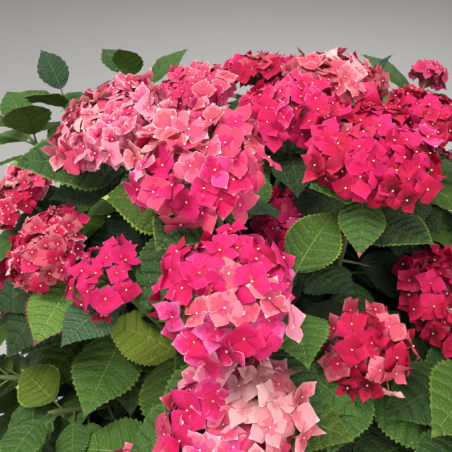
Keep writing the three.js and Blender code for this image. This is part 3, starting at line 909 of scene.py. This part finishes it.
def leaf_template(veins, columns, pattern):
    """Rows of a blade that follow its side veins: where each runs, and what is on it."""
    marks = []
    starts = np.append(np.linspace(0, LAST_VEIN, veins + 1), TIP_START)
    for first, last in zip(starts, starts[1:]):
        for offset, share, swell, tooth in pattern:
            marks.append((first + offset + (last - first) * share, swell, tooth))
    margin, bulge, tooth = (np.array(column, float) for column in zip(*marks, *TIP_MARKS))
    middle = np.maximum(0, (margin - VEIN_SLANT) / (1 - VEIN_SLANT))
    v = np.tile(columns, (len(margin), 1))
    side = np.abs(v)
    run = 0.7 * side + 0.3 * side**2
    grown = smooth(margin, 0.02, 0.14) * (1 - smooth(margin, TIP_START, 1))
    u = middle[:, None] + (margin - middle)[:, None] * run
    outline = np.sin(math.pi * np.clip(margin, 0, 1) ** WIDEST) ** (0.72 + 0.74 * margin)
    outline = np.maximum(outline, 0.05 * (margin < 0.02))
    teeth = (tooth * grown)[:, None] * (side == 1)
    width = outline[:, None] * v * (1 + TOOTH_OUT * teeth)
    u = u + TOOTH_ON * np.maximum(teeth, 0)
    swell = bulge[:, None] * np.sin(math.pi * np.clip(side * 1.02, 0, 1) ** 0.7)
    faces = grid_faces(len(margin), len(columns))
    zone = blade_zones(faces[:, 0] // len(columns), faces[:, 0] % len(columns), pattern)
    return u, width, swell, faces, zone


FINE = leaf_template(9, FINE_COLUMNS, FINE_PATTERN)
MIDDLE = leaf_template(7, FINE_COLUMNS, MIDDLE_PATTERN)
PLAIN = leaf_template(4, PLAIN_COLUMNS, PLAIN_PATTERN)


def looks_of(leaf):
    """Which greens a leaf wears: painted shade by its depth in the shrub, darkest near the middle, and
    by chance.
    """
    if leaf.looks:
        return leaf.looks
    x, y, z = leaf_spot(leaf, 0.5)
    open_air = math.hypot(math.hypot(x, y) / BUSH_REACH, (z - BUSH_MIDDLE) / BUSH_REACH)
    chance = vary(leaf.key + 7 * leaf.pair, 21)
    if open_air < DEEP_SHADE_ENDS:
        return "night"
    looks = OPEN_LOOKS
    if open_air < SHADE_ENDS:
        looks = SHADE_LOOKS
    elif leaf.length < SMALL_LEAF and chance > SMALL_FROM:
        looks = SMALL_LOOKS
    return next(name for name, share in looks.items() if chance <= share)


def leaf_roll(leaf, across):
    """How far a blade is rolled about its length, to face the open air beside it."""
    outward = leaf.root * np.array([1, 1, 0])
    outward = np.array([0.0, -1, 0]) if leaf.looks else unit(outward + 1e-6)
    most = SEEN_ROLL if leaf.looks else USUAL_ROLL
    return -math.radians(most) * float(np.dot(across, outward))


def draw_key(leaf):
    """The key of the draws that shape a leaf's blade."""
    return leaf.key + 1000 * (leaf.pair + 1)


def by_chance(bend, key, draw):
    least, more = bend
    return least + more * vary(key, draw)


def sideways(leaf, u):
    """How far a blade bends to one side."""
    return spread(SIDE_BEND, draw_key(leaf), 38) * leaf.length * u**2


def leaf_mesh(leaf):
    looks = looks_of(leaf)
    near = leaf.looks or np.linalg.norm(leaf_spot(leaf, 0.5) - CAMERA_AT) < FINE_WITHIN
    u, width, swell, faces, zone = PLAIN if looks in DIM_LOOKS else FINE if near else MIDDLE
    length = leaf.length
    key = draw_key(leaf)
    spots, heading = leaf_line(leaf, LEAF_STALK + u * length)
    across = level(leaf.angle + 90)
    normal = np.cross(heading, across)
    y = width * length * LEAF_WIDTH / 2 * (1 + spread(0.05, key, 31))
    share = np.abs(y) / (length * LEAF_WIDTH / 2)
    lift = by_chance(FOLD, key, 32) * np.abs(y) * (1 - 0.62 * share)
    lift += swell * length * by_chance(PUCKER, key, 33)
    phase = 2 * math.pi * vary(key, 34)
    wave = np.sin(2 * math.pi * by_chance(WAVE_COUNT, key, 35) * u + phase + (y > 0) * 2.1)
    lift += wave * share**2 * length * by_chance(WAVE, key, 36)
    lift -= share**2 * length * EDGE_SINK
    lift += np.sin(41 * u + 13 * width + phase) * np.sin(9 * u - 17 * width + phase) * length * CRINKLE
    roll = leaf_roll(leaf, across) + math.radians(spread(STRAY_ROLL, key, 37))
    y, lift = y * math.cos(roll) - lift * math.sin(roll), y * math.sin(roll) + lift * math.cos(roll)
    corners = spots + (y + sideways(leaf, u))[..., None] * across + lift[..., None] * normal
    slots = np.array([LEAF_SLOTS[name] for name in LEAF_LOOKS[looks].split()])[zone]
    return corners.reshape(-1, 3), faces, slots


def stalk_mesh(leaf):
    """The stalk of a leaf, carried on under its blade as the midrib."""
    length = leaf.length
    dim = looks_of(leaf) in DIM_LOOKS
    ends = np.linspace(0, LEAF_STALK + length * STALK_END, 7 if dim else 9)
    ends = np.concatenate([np.linspace(0, LEAF_STALK, 2 if dim else 4), ends[ends > LEAF_STALK + 5]])
    spots, heading = leaf_line(leaf, ends)
    across = level(leaf.angle + 90)
    below = -np.cross(heading, across)
    u = np.maximum(ends - LEAF_STALK, 0) / length
    radii = np.interp(u, *STALK_RADII) * math.sqrt(length / LEAF_LENGTH)
    radii[0] *= STALK_FOOT
    sunk = below * (radii * smooth(u, 0, 0.04) * 0.8)[:, None]
    return tube(spots + sideways(leaf, u)[:, None] * across + sunk, radii, 3 if dim else STALK_SIDES)


def stem_mesh(shoot):
    """A green stem, thicker where its pairs of leaves stand."""
    curve = shoot.curve
    downs = np.linspace(curve.length, 0, STEM_POINTS)
    points = np.array([stem_spot(curve, down) for down in downs])
    soft = points.copy()
    soft[1:-1] = (points[:-2] + points[1:-1] * 2 + points[2:]) / 4
    radii = TWIG["foot"] + (TWIG["tip"] - TWIG["foot"]) * (1 - downs / curve.length)
    for down, _, _ in shoot.pairs + LOWER_PAIRS:
        radii = radii * (1 + ridge(downs - down, *STEM_NODE))
    if not shoot.across:
        radii[-1] *= 0.5
    return limb(soft, radii, STEM_SIDES)


# Flower heads
FLOWER_TONES = {
    "hot": (208, 36, 100),
    "hot_light": (216, 68, 132),
    "mauve": (216, 96, 152),
    "vivid": (199, 26, 80),
    "vivid_light": (208, 48, 100),
    "crimson_pink": (180, 24, 62),
    "crimson_light": (191, 44, 78),
    "crimson": (145, 22, 48),
    "wine": (103, 15, 34),
    "mid": (208, 70, 104),
    "mid_light": (224, 100, 130),
    "light_pink": (234, 140, 166),
    "salmon": (204, 80, 98),
    "salmon_light": (220, 110, 126),
    "pale_salmon": (234, 148, 156),
    "blush": (242, 182, 184),
    "cream": (246, 210, 196),
    "lime_cream": (187, 178, 124),
    "olive": (136, 104, 54),
    "dusty": (168, 62, 80),
    "dusty_light": (183, 94, 102),
    "faded": (184, 116, 98),
    "bead": (227, 222, 200),
    "pedicel": (183, 92, 102),
}
FLOWER_SLOTS = {name: i for i, name in enumerate(FLOWER_TONES)}
# The zones of a sepal, and the tones of each for every tint, in the same order
HEART, BODY, OUTER_PART, RIM = range(4)
TINTS = {
    "hot": "vivid hot hot hot_light",
    "hot_mauve": "hot hot_light mauve mauve",
    "vivid": "vivid vivid hot vivid_light",
    "crimson_pink": "crimson_pink crimson_pink vivid crimson_light",
    "hot_rim": "vivid hot hot_light light_pink",
    "vivid_rim": "vivid vivid vivid_light mid_light",
    "crimson_rim": "crimson crimson_pink crimson_light mid",
    "salmon_rim": "mid salmon salmon_light blush",
    "crimson": "wine crimson crimson_pink crimson_pink",
    "wine": "wine wine crimson crimson",
    "mid": "hot mid mid mid_light",
    "mid_cream": "mid mid mid_light blush",
    "salmon": "mid salmon salmon salmon_light",
    "salmon_edge": "mid salmon salmon_light pale_salmon",
    "salmon_cream": "salmon salmon_light pale_salmon blush",
    "pale": "mid_light light_pink light_pink blush",
    "pale_salmon": "salmon_light pale_salmon pale_salmon blush",
    "cream": "pale_salmon blush blush cream",
    "lime": "salmon_light pale_salmon blush lime_cream",
    "olive_tip": "mid salmon salmon_light olive",
    "dusty": "crimson_pink dusty dusty_light salmon",
    "pink_cream": "hot_light mid_light light_pink blush",
    "faded": "dusty_light faded salmon_light lime_cream",
    "rose_cream": "hot mid_light light_pink cream",
    "crimson_lime": "crimson_pink vivid mid_light cream",
}
# Main tints, tints of the paler side, the way that side faces, and how far it reaches: 1 is all of
# the head, and at 0 or less only strays are left. A tint that is named twice is given twice as often.
HEAD_LOOKS = {
    "bloom_front": (
        "hot hot hot_mauve vivid hot hot_rim vivid",
        "salmon_edge olive_tip salmon_rim salmon_rim",
        (0.1, -0.8, 0.5), -0.06,
    ),
    "bloom_middle": (
        "mid hot_rim salmon_rim mid vivid_rim hot mid_cream",
        "mid_cream salmon_cream salmon_rim pink_cream",
        (-0.9, -0.1, 0.5), 0.12,
    ),
    "bloom_pale_left": (
        "pink_cream rose_cream mid_cream pink_cream rose_cream pale",
        "salmon_cream pale cream pink_cream",
        (-0.6, 0.1, 0.7), 0.26,
    ),
    "bloom_top_left": (
        "mid hot_rim salmon_rim mid hot vivid_rim",
        "salmon_cream mid_cream",
        (-0.3, 0, 0.9), 0.12,
    ),
    "bloom_top_middle": ("hot vivid hot_rim vivid crimson_pink vivid_rim", "mid hot_rim", UP, 0.12),
    "bloom_salmon": (
        "salmon_rim salmon_edge mid_cream salmon_cream mid dusty",
        "salmon_cream cream olive_tip",
        (0, -0.3, 1), 0.22,
    ),
    "bloom_right": (
        "vivid crimson_pink vivid hot vivid_rim crimson_rim crimson_pink",
        "hot hot_rim",
        (0.5, 0.2, 0.8), 0.12,
    ),
    "bloom_far_right": ("crimson_pink vivid crimson_rim", "hot vivid", UP, 0.15),
    "bloom_small_back": ("hot_rim mid hot hot_mauve", "mid", UP, 0.15),
    "bloom_young": ("hot vivid vivid hot", "hot", UP, 0.1),
    "bloom_left": (
        "crimson_rim dusty crimson_lime vivid_rim crimson_pink crimson_lime",
        "salmon_edge lime dusty salmon",
        (0.3, -0.8, -0.3), 0.02,
    ),
    "bloom_left_upper": (
        "dusty crimson_lime crimson_pink salmon_rim mid",
        "salmon_edge lime",
        (-0.6, -0.4, 0.5), 0.15,
    ),
    "bloom_low_front": (
        "hot_rim mid_cream pink_cream hot",
        "salmon_cream pale_salmon cream pink_cream",
        (0.9, -0.2, 0.4), 0.44,
    ),
    "bloom_low_right": (
        "crimson_pink crimson_rim dusty salmon crimson dusty",
        "salmon_edge salmon_rim lime olive_tip",
        (0.8, -0.3, 0.1), 0.06,
    ),
    "bloom_right_edge": ("crimson_pink crimson crimson crimson_pink crimson_rim", "vivid", UP, 0.06),
    "bloom_hidden": ("hot vivid hot_rim", "hot", UP, 0.1),
    "bloom_top_back": ("vivid crimson_pink hot_rim", "mid salmon", UP, 0.15),
}
OTHER_HEAD_LOOKS = [
    ("hot vivid_rim hot_rim crimson_pink", "mid mid_cream", UP, 0.15),
    ("salmon_rim mid dusty hot_rim", "salmon_cream pale_salmon", (0.3, 0.2, 1), 0.25),
    ("crimson_pink vivid vivid_rim", "salmon mid", UP, 0.12),
]
STRAYS = {"bloom_front": 0.5, "bloom_low_right": 0.4, "bloom_left": 0.4}
USUAL_STRAYS = 0.16
# Tints of the lowest florets and of the inner ones, on the pale heads and on the others: painted
# shade, darker tints where the underside and the inside of a head lie in shade, milder on the pale heads
PALE_HEADS = ["bloom_middle", "bloom_pale_left", "bloom_top_left", "bloom_salmon"]
PALE_HEADS += ["bloom_low_front", "bloom_hidden", "bloom_small_back"]
PALE_LOW_SHADE_TINTS = ("dusty", "mid")
FADED_LOW_SHADE_TINTS = ("faded", "dusty")
LOW_SHADE_TINTS = ("crimson_pink", "crimson")
PALE_INNER_TINTS = ("mid", "mid_cream", "salmon_edge", "mid")
INNER_SHADE_TINTS = ("crimson", "wine", "crimson_pink", "dusty")
LOW_BELOW = -0.15  # as a height over the head's middle, with its reach as 1
LOW_SHARE = 0.7  # of the florets that low, which have a painted-shade tint
# The front head is thinner low on its front, with tints of its own there
LOW_FRONT_TINTS = ("hot", "hot_rim", "vivid", "pale", "hot_mauve")
LOW_FRONT_MISSING = 0.34
LOW_FRONT_PAST = -0.3  # forwards from the head's middle, with its reach as 1
LOW_FRONT_BELOW = 0.12
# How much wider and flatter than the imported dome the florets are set, and how large they are
HEAD_SHAPE = {
    "bloom_front": (1, 0.93, 1.05),
    "bloom_middle": (1, 1, 1.1),
    "bloom_pale_left": (1.02, 0.58, 1),
    "bloom_right": (1.05, 0.66, 1.05),
    "bloom_far_right": (1.04, 0.75, 0.84),
    "bloom_low_front": (1.04, 0.9, 1.3),
    "bloom_salmon": (1.03, 0.8, 1.05),
    "bloom_young": (1.1, 1, 1),
    "bloom_top_left": (1, 0.86, 0.9),
    "bloom_small_back": (1, 1.15, 0.9),
    "bloom_low_right": (0.88, 1, 1),
    "bloom_left": (1, 0.86, 0.8),
    "bloom_left_upper": (1, 0.86, 0.8),
}
USUAL_HEAD = (1, 0.86, 1)
LOOSE = {"bloom_low_right": 0.16, "bloom_right_edge": 0.14}  # share of the florets that they lack
# Layers of florets: the space that one takes, how far out they stand, and their lowest latitude
FLORET_SPACE = 23.5
OUTER_LAYER = (FLORET_SPACE, 0.88, -16)
INNER_LAYER = (FLORET_SPACE * 1.3, 0.66, -12)
YOUNG_LAYER = (24.5, 0.86, 4)
DOME_SHARE = 0.78  # of a ball's surface, since the dome is flatter
MORE_ON_TOP = 0.84
FLORET_LEAN = (0.56, 0.56, 0.3)
YOUNG_LEAN = 0.4
FORKS = 9
FORK_LOWEST = -10
FORK_REACH = 0.5
FORK_START = 0.7
FORK_RADII = [2.0, 1.6, 1.3]
PEDICEL_RADII = [1.0, 0.75, 0.7]
SEPAL_LENGTH = 20
SEPAL_WIDTH = 0.52
SMALL_HEAD = 110
SMALL_SEPAL = 0.88
SEPAL_CUP = 0.06
FLORET_SUNK = 1.5
FLORET_CHANCE = {"size": 0.14, "cup": 0.24, "depth": 0.12}
# How far chance changes a sepal: radians for the turn, and shares of its length for the others
SEPAL_CHANCE = {"turn": 0.16, "length": 0.12, "width": 0.06, "cup": 0.34, "twist": 0.3}
SEPAL_CHANCE |= {"curl": 0.2, "tip": 0.2}
# Shares of the florets with five sepals and with lime beads, and of the sepals with a paler body
FIVE_SEPALS = 0.07
LIME_BEADS = 0.25
PALER_BODIES = 0.28
SEPAL_ROWS = np.array([0.0, 0.17, 0.36, 0.52, 0.72, 0.88, 1.0])
SEPAL_POINTED = 1.08  # above 1, a sepal is narrower towards both ends
SEPAL_WIDTHS = np.array([0.12, 0.6, 0.94, 1.0, 0.66, 0.27, 0.03]) ** SEPAL_POINTED
SEPAL_COLUMNS = np.array([-1, -0.93, -0.45, 0, 0.45, 0.93, 1])
INNER_ROWS = np.array([0.0, 0.3, 0.62, 1.0])
INNER_WIDTHS = np.array([0.12, 0.85, 0.9, 0.05])
INNER_COLUMNS = np.array([-1, 0, 1])
BEAD = 1.7
BEAD_CORNERS = np.array([[1, 0, 0], [0, 1, 0], [-1, 0, 0], [0, -1, 0], [0, 0, 1], [0, 0, -0.6]], float)
BEAD_SIDES = [(i, (i + 1) % 4) for i in range(4)]
BEAD_FACES = np.array([(a, b, 4, 4) for a, b in BEAD_SIDES] + [(b, a, 5, 5) for a, b in BEAD_SIDES])


def sepal_template(rows, widths, columns):
    """Where the corners of a sepal lie, out from the bead and across, its faces and their zones."""
    u = np.repeat(rows[:, None], len(columns), axis=1)
    v = widths[:, None] * columns[None, :]
    faces = grid_faces(len(rows), len(columns))
    row, column = faces[:, 0] // len(columns), faces[:, 0] % len(columns)
    last_row, last_column = row.max(), column.max()
    zone = np.full(len(faces), BODY)
    zone[row == 0] = HEART
    if len(columns) > len(INNER_COLUMNS):
        inner = (column >= 2) & (column <= last_column - 2)
        zone[(row == 1) & inner] = HEART
        zone[(row == 4) | (row == 3) & ~inner] = OUTER_PART
        zone[(row > 0) & ((column == 0) | (column == last_column)) | (row == last_row)] = RIM
    else:
        zone[row == last_row] = OUTER_PART
    return u, v, faces, zone


SEPAL = sepal_template(SEPAL_ROWS, SEPAL_WIDTHS, SEPAL_COLUMNS)
INNER_SEPAL = sepal_template(INNER_ROWS, INNER_WIDTHS, INNER_COLUMNS)


def sepal_relief(u, v, cup, key, petal):
    """How far a sepal stands up: cupped, arched, twisted, and with its tip up or down."""
    own = key + petal
    shape = (cup + spread(SEPAL_CHANCE["cup"], own, 44)) * u**2 + 0.16 * (1 - u) * u
    shape -= (0.08 + spread(SEPAL_CHANCE["curl"], own, 46)) * v**2
    shape += spread(SEPAL_CHANCE["twist"], own, 45) * v * u
    shape += 0.07 * v**2 * np.sin(6.5 * u + 2.4 * np.sign(v) + key + petal)
    return shape + spread(SEPAL_CHANCE["tip"], own, 48) * (np.maximum(u - 0.6, 0) / 0.4) ** 2


def floret(middle, facing, size, tint, cup, key, base, inner):
    """Four broad pointed sepals round a bead, sometimes five, and the pedicel that holds them."""
    u, v, faces, zone = INNER_SEPAL if inner else SEPAL
    side = unit(np.cross(facing, np.array([0.31, 0.87, 0.39])))
    other = np.cross(facing, side)
    heart, body, outer, rim = (FLOWER_SLOTS[name] for name in TINTS[tint].split())
    petals = 5 if vary(key, 61) < FIVE_SEPALS and not inner else 4
    spin = 2 * math.pi * vary(key, 59)
    parts = []
    for petal in range(petals):
        own = key + petal
        turn = spin + petal * 2 * math.pi / petals + spread(SEPAL_CHANCE["turn"], own, 41)
        out = side * math.cos(turn) + other * math.sin(turn)
        flat = -side * math.sin(turn) + other * math.cos(turn)
        long = size * (1 + spread(SEPAL_CHANCE["length"], own, 42))
        wide = long * (SEPAL_WIDTH + spread(SEPAL_CHANCE["width"], own, 43))
        wide *= 0.86 if petals == 5 else 1
        rise = 0.9 + 1.1 * (petal % 2) + long * sepal_relief(u, v, cup, key, petal)
        spot = (1.0 + u * long)[..., None] * out + (v * wide)[..., None] * flat
        spot = spot + rise[..., None] * facing
        tones = np.array([heart, outer if vary(own, 47) < PALER_BODIES else body, outer, rim])
        parts.append((middle + spot.reshape(-1, 3), faces, tones[zone]))
    bead = middle + facing * 2.2 + (BEAD_CORNERS @ np.array([side, other, facing])) * BEAD
    bead_tone = FLOWER_SLOTS["lime_cream" if vary(key, 62) < LIME_BEADS else "bead"]
    parts.append((bead, BEAD_FACES, np.full(len(BEAD_FACES), bead_tone)))
    pull = (base + middle) / 2 - facing * 3
    stick, stick_faces = tube(np.array([base, pull, middle]), PEDICEL_RADII, 3)
    parts.append((stick, stick_faces, np.full(len(stick_faces), FLOWER_SLOTS["pedicel"])))
    corners, part_faces, slots = zip(*parts)
    offsets = np.cumsum([0] + [len(part) for part in corners])
    shifted = [part + offset for part, offset in zip(part_faces, offsets)]
    return np.vstack(corners), np.vstack(shifted), np.concatenate(slots)


class Head:
    """A flower head: florets in layers over a dome, on a stalk that forks below them."""

    def __init__(self, shoot):
        self.shoot, self.key, self.name, self.half = shoot, shoot.key, shoot.name, shoot.across / 2
        self.turned = turned_to(shoot.axis)
        looks = HEAD_LOOKS.get(self.name, OTHER_HEAD_LOOKS[self.key % len(OTHER_HEAD_LOOKS)])
        self.main, self.pale = looks[0].split(), looks[1].split()
        self.pale_way, self.pale_share = unit(np.array(looks[2], float)), looks[3]
        self.is_pale = self.name in PALE_HEADS
        self.low = PALE_LOW_SHADE_TINTS if self.is_pale else LOW_SHADE_TINTS
        if self.name == "bloom_salmon":
            self.low = FADED_LOW_SHADE_TINTS
        self.wider, self.flatter, self.larger = HEAD_SHAPE.get(self.name, USUAL_HEAD)
        self.loose = LOOSE.get(self.name, 0)
        self.young = self.name == "bloom_young"

    def spot(self, way, wider, flatter, reach):
        """A spot of the dome."""
        shape = way * np.array([wider, wider, tall_of(way) * flatter])
        return self.shoot.at + self.turned @ shape * self.half * reach

    def facing(self, way, key):
        """The way that a floret faces: out of the dome, a little upwards where it is low."""
        raised = UP * (0.25 if way[2] < 0.1 else 0)
        straight = self.turned @ unit(way * np.array([1, 1, 1 / max(tall_of(way), 0.5)]) + raised)
        lean = np.array([spread(most, key, 53 + i) for i, most in enumerate(FLORET_LEAN)])
        return unit(straight + lean * (YOUNG_LEAN if self.young else 1))

    def low_front(self, world):
        low_front = world[1] < LOW_FRONT_PAST and world[2] < LOW_FRONT_BELOW
        return self.name == "bloom_front" and low_front

    def lacks(self, world, key, inner):
        """Whether a floret is left out."""
        if self.low_front(world) and (inner or vary(key, 56) < LOW_FRONT_MISSING):
            return True
        return not inner and vary(key, 65) < self.loose

    def tint(self, world, key, inner):
        """The tint of a floret: by its side of the head, with darker tints as painted shade low down and
        inside, and by chance.
        """
        chance = vary(key, 56)
        stray = spread(STRAYS.get(self.name, USUAL_STRAYS), key, 67)
        # Inner florets, sunk between the outer ones, take the inner tints: painted shade, milder on the
        # pale heads
        if inner:
            return pick(PALE_INNER_TINTS if self.is_pale else INNER_SHADE_TINTS, chance)
        if self.low_front(world):
            return pick(LOW_FRONT_TINTS, vary(key, 63))
        if (1 + float(np.dot(world, self.pale_way))) / 2 + stray > 1 - self.pale_share:
            return pick(self.pale, chance)
        # Low florets on a head's underside take painted shade
        shaded = world[2] < LOW_BELOW and (world[1] < 0.1 or not self.is_pale)
        if shaded and chance > 1 - LOW_SHARE:
            return self.low[int(chance * 10) % 2]
        return pick(self.main, chance)

    def add_stalks(self, stalks):
        """The stalk and its forks, with the ends of the forks as the result."""
        at, axis, half = self.shoot.at, self.shoot.axis, self.half
        foot = self.shoot.top + axis * GAP
        crotch = at - axis * half * HEAD_SINK * FORK_START
        stalk = np.linspace(foot, crotch, 5)
        stalks.add(self.name, *limb(stalk, np.full(5, HEAD_STALK_RADIUS), 8))
        ends = []
        for way in spiral(FORKS, FORK_LOWEST, self.key):
            end = self.spot(way, 1, 1, FORK_REACH)
            bend = (crotch + end) / 2 + axis * half * 0.02
            stalks.add(self.name, *tube(np.array([crotch, bend, end]), FORK_RADII, 5))
            ends.append(end)
        return np.array(ends)

    def add_florets(self, flowers, ends):
        across = self.shoot.across
        layers = [YOUNG_LAYER] if self.young else [OUTER_LAYER, INNER_LAYER]
        for layer, (space, lift, lowest) in enumerate(layers):
            share = (1 - math.sin(math.radians(lowest))) / 2
            wide = across * lift * self.wider / (space * self.larger)
            count = round(math.pi * share * DOME_SHARE * wide**2)
            turn = 2 * math.pi * vary(self.key, 51 + layer)
            for i, way in enumerate(spiral(count, lowest, turn, MORE_ON_TOP)):
                key = self.key * 400 + layer * 200 + i
                depth = FLORET_CHANCE["depth"] + 0.6 * self.loose
                reach = lift * (1 + spread(depth, key, 52))
                middle = self.spot(way, self.wider, self.flatter, reach)
                world = unit(middle - self.shoot.at)
                if self.lacks(world, key, layer > 0):
                    continue
                facing = self.facing(way, key)
                size = SEPAL_LENGTH * self.larger * (1 + spread(FLORET_CHANCE["size"], key, 58))
                size *= SMALL_SEPAL if across < SMALL_HEAD else 1
                tint = self.tint(world, key, layer > 0)
                cup = SEPAL_CUP + spread(FLORET_CHANCE["cup"], key, 60)
                end = ends[np.argmin(np.linalg.norm(ends - middle, axis=1))]
                foot = middle - facing * FLORET_SUNK
                flowers.add(self.name, *floret(foot, facing, size, tint, cup, key, end, layer > 0))


# Bark
CANE_STEPS, CANE_SIDES = 60, 16
CANE_WAVES = ((2, 0.03), (5, 0.045), (7, 0.035))
CANE_NODE_FIRST = 38
CANE_NODE_APART = 62
CANE_NODE = (0.13, 5)
CANE_GROOVE = (0.06, 3)
GROOVE_ABOVE = 8
SOCKET_STEPS = 14
CROWN_STEPS, CROWN_SIDES = 22, 56
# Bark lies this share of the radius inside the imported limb, so that its ridges stay in the size
CANE_INSIDE = 0.05
SOCKET_INSIDE = 0.04
CROWN_INSIDE = 0.02


def cane_mesh(sector, key):
    """A cane with lengthwise ridges, and a ring with a groove above it at every node."""
    curve = sector.curve
    shares = np.linspace(0, 1, CANE_STEPS)
    points = curve.at(curve.even(shares))
    points = np.vstack([points[:-1], points[-1] - curve.tangent(1) * 0.01])
    radii = CANE_FOOT + (CANE_TIP - CANE_FOOT) * shares
    distance = shares * curve.length
    turns = turns_round(CANE_SIDES)
    wobble = np.zeros((CANE_STEPS, CANE_SIDES))
    for wave, size in CANE_WAVES:
        phase = distance[:, None] / (46 + 9 * wave) + key
        wobble += size * np.sin(wave * turns[None, :] + 2.2 * np.sin(phase) + key * wave)
    for node in np.arange(CANE_NODE_FIRST + 9 * vary(key, 71), curve.length, CANE_NODE_APART):
        wobble += ridge(distance - node, *CANE_NODE)[:, None]
        wobble -= ridge(distance - node - GROOVE_ABOVE, *CANE_GROOVE)[:, None]
    return limb(points, radii, CANE_SIDES, wobble - CANE_INSIDE)


def crown_mesh():
    """The lobed crown, with rough bark."""
    heights = np.linspace(0, CROWN_RINGS[-1][0], CROWN_STEPS)
    ring_heights, ring_radii, ring_lobes = zip(*CROWN_RINGS)
    radii = np.interp(heights, ring_heights, ring_radii)
    lobes = np.interp(heights, ring_heights, ring_lobes)
    turns = turns_round(CROWN_SIDES)
    corners = []
    for height, radius, lobe in zip(heights, radii, lobes):
        shape = 1 + lobe * np.cos(turns * CROWN_LOBES) + lobe * 0.5 * np.sin(turns * 2)
        rough = 0.028 * np.sin(9 * turns + height / 9) + 0.022 * np.sin(17 * turns - height / 5)
        rough += 0.02 * np.sin(height / 3.1 + 3 * turns)
        reach = radius * (shape + rough - CROWN_INSIDE)
        x, y = np.sin(turns) * reach + CROWN_LEAN * height, -np.cos(turns) * reach
        corners.append(np.stack([x, y, np.full(CROWN_SIDES, height)]).T)
    faces = grid_faces(CROWN_STEPS, CROWN_SIDES, closed=True)
    return capped(np.concatenate(corners), faces, CROWN_SIDES)


def socket_mesh(sector, key):
    """The foot of a cane in the crown, with ridges."""
    foot, way = sector.foot, sector.way
    points = np.linspace(foot - way * SOCKET_LENGTH, foot - way * GAP, SOCKET_STEPS)
    radii = CANE_FOOT * np.linspace(SOCKET_FOOT, SOCKET_TIP, SOCKET_STEPS)
    turns = turns_round(CANE_SIDES)
    shares = np.linspace(0, 1, SOCKET_STEPS)[:, None]
    wobble = 0.05 * np.sin(5 * turns + 3 * shares + key) + 0.04 * np.sin(9 * turns - 5 * shares)
    return limb(points, radii, CANE_SIDES, wobble - SOCKET_INSIDE)


# The shrub
shoots, sectors, leaves = grow()
foliage, stems, flowers, stalks, canes, wood = (Heap() for _ in range(6))
leaves.sort(key=lambda leaf: (list(sectors).index(leaf.sector), leaf.pair, leaf.key))
for leaf in leaves:
    foliage.add(f"leaves_{leaf.sector}", *leaf_mesh(leaf))
    stems.add(f"leaves_{leaf.sector}", *stalk_mesh(leaf))
for key, (name, sector) in enumerate(sectors.items()):
    collar = np.linspace(*sector.collar, len(COLLAR_RADII))
    stems.add(f"leaves_{name}", *limb(collar, COLLAR_RADII, COLLAR_SIDES))
    for shoot in sector.shoots:
        stems.add(f"leaves_{name}", *stem_mesh(shoot))
    canes.add(f"cane_{name}", *cane_mesh(sector, key))
    wood.add("root_crown", *socket_mesh(sector, key))
wood.add("root_crown", *crown_mesh())
for shoot in shoots:
    if shoot.across:
        bloom = Head(shoot)
        bloom.add_florets(flowers, bloom.add_stalks(stalks))

leaf_materials = [plant_material(f"leaf_{name}", LEAF_TONES[name], **LEAF_FINISH) for name in LEAF_TONES]
flower_materials = [
    plant_material(f"sepal_{name}", tone, **SEPAL_FINISH) for name, tone in FLOWER_TONES.items()
]
stem_materials = [plant_material("green_stem", STEM_COLOUR, **STEM_FINISH)]
bark_materials = [bark_material()]

# Pieces: what they are made of, their name, materials and slot
for heap, name, materials, slot in (
    (foliage, "leaves", leaf_materials, "foliage"),
    (stems, "green_stems", stem_materials, "foliage"),
    (flowers, "flowers", flower_materials, "blossom"),
    (stalks, "flower_stalks", stem_materials, "blossom"),
    (canes, "cane_bark", bark_materials, "bark"),
    (wood, "crown_bark", bark_materials, "bark"),
):
    for piece, owners in heap.pieces(name, materials):
        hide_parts(*owners)
        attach(piece, "root")

# Floor, light and camera, in metres. Lamps: place, what they are aimed at, size, power, colour
FLOOR = 20
FLOOR_COLOUR = (0.5, 0.495, 0.48, 1)
WORLD_STRENGTH = 0.36
LAMPS = {
    "key": ((-0.9, -1.1, 3.4), (0, 0, 0.6), 1.6, 106, (1, 0.99, 0.96)),
    "fill": ((1.3, -2.6, 1.9), (0, 0, 0.5), 2.4, 56, (1, 1, 1)),
    "back": ((0.4, 2.6, 2.6), (0, 0, 0.6), 2.0, 30, (1, 1, 1)),
}

floor_mesh = bpy.data.meshes.new("floor")
floor_corners = [(-FLOOR, -FLOOR, 0), (FLOOR, -FLOOR, 0), (FLOOR, FLOOR, 0), (-FLOOR, FLOOR, 0)]
floor_mesh.from_pydata(floor_corners, [], [(0, 1, 2, 3)])
floor = in_scene(bpy.data.objects.new("floor", floor_mesh))
floor_material, floor_shader = new_material("pale_floor")
set_inputs(floor_shader, {"Base Color": FLOOR_COLOUR, "Roughness": 0.9})
floor_mesh.materials.append(floor_material)
floor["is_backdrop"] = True

world = bpy.data.worlds.new("studio")
world.use_nodes = True
set_inputs(world.node_tree.nodes["Background"], {"Color": (1, 1, 1, 1), "Strength": WORLD_STRENGTH})
bpy.context.scene.world = world

for name, (place, aim, size, power, colour) in LAMPS.items():
    data = bpy.data.lights.new(name, "AREA")
    data.shape = "SQUARE"
    data.size = size
    data.energy = power
    data.color = colour
    lamp = in_scene(bpy.data.objects.new(name, data))
    lamp.location = place
    lamp.rotation_euler = (Vector(aim) - Vector(place)).to_track_quat("-Z", "Y").to_euler()

bpy.context.scene.view_settings.view_transform = "Standard"

camera_data = bpy.data.cameras.new("camera")
camera_data.sensor_width = SENSOR
camera_data.lens = FOCAL / PICTURE * SENSOR
camera = in_scene(bpy.data.objects.new("camera", camera_data))
camera.location = CAMERA_AT * MM
camera.rotation_euler = (math.radians(90 - CAMERA_DOWN), 0, 0)
bpy.context.scene.camera = camera

visual_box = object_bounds()
boxes = {"cad": cad_box, "visual": visual_box}
{name: [list(map(float, corner)) for corner in box] for name, box in boxes.items()}
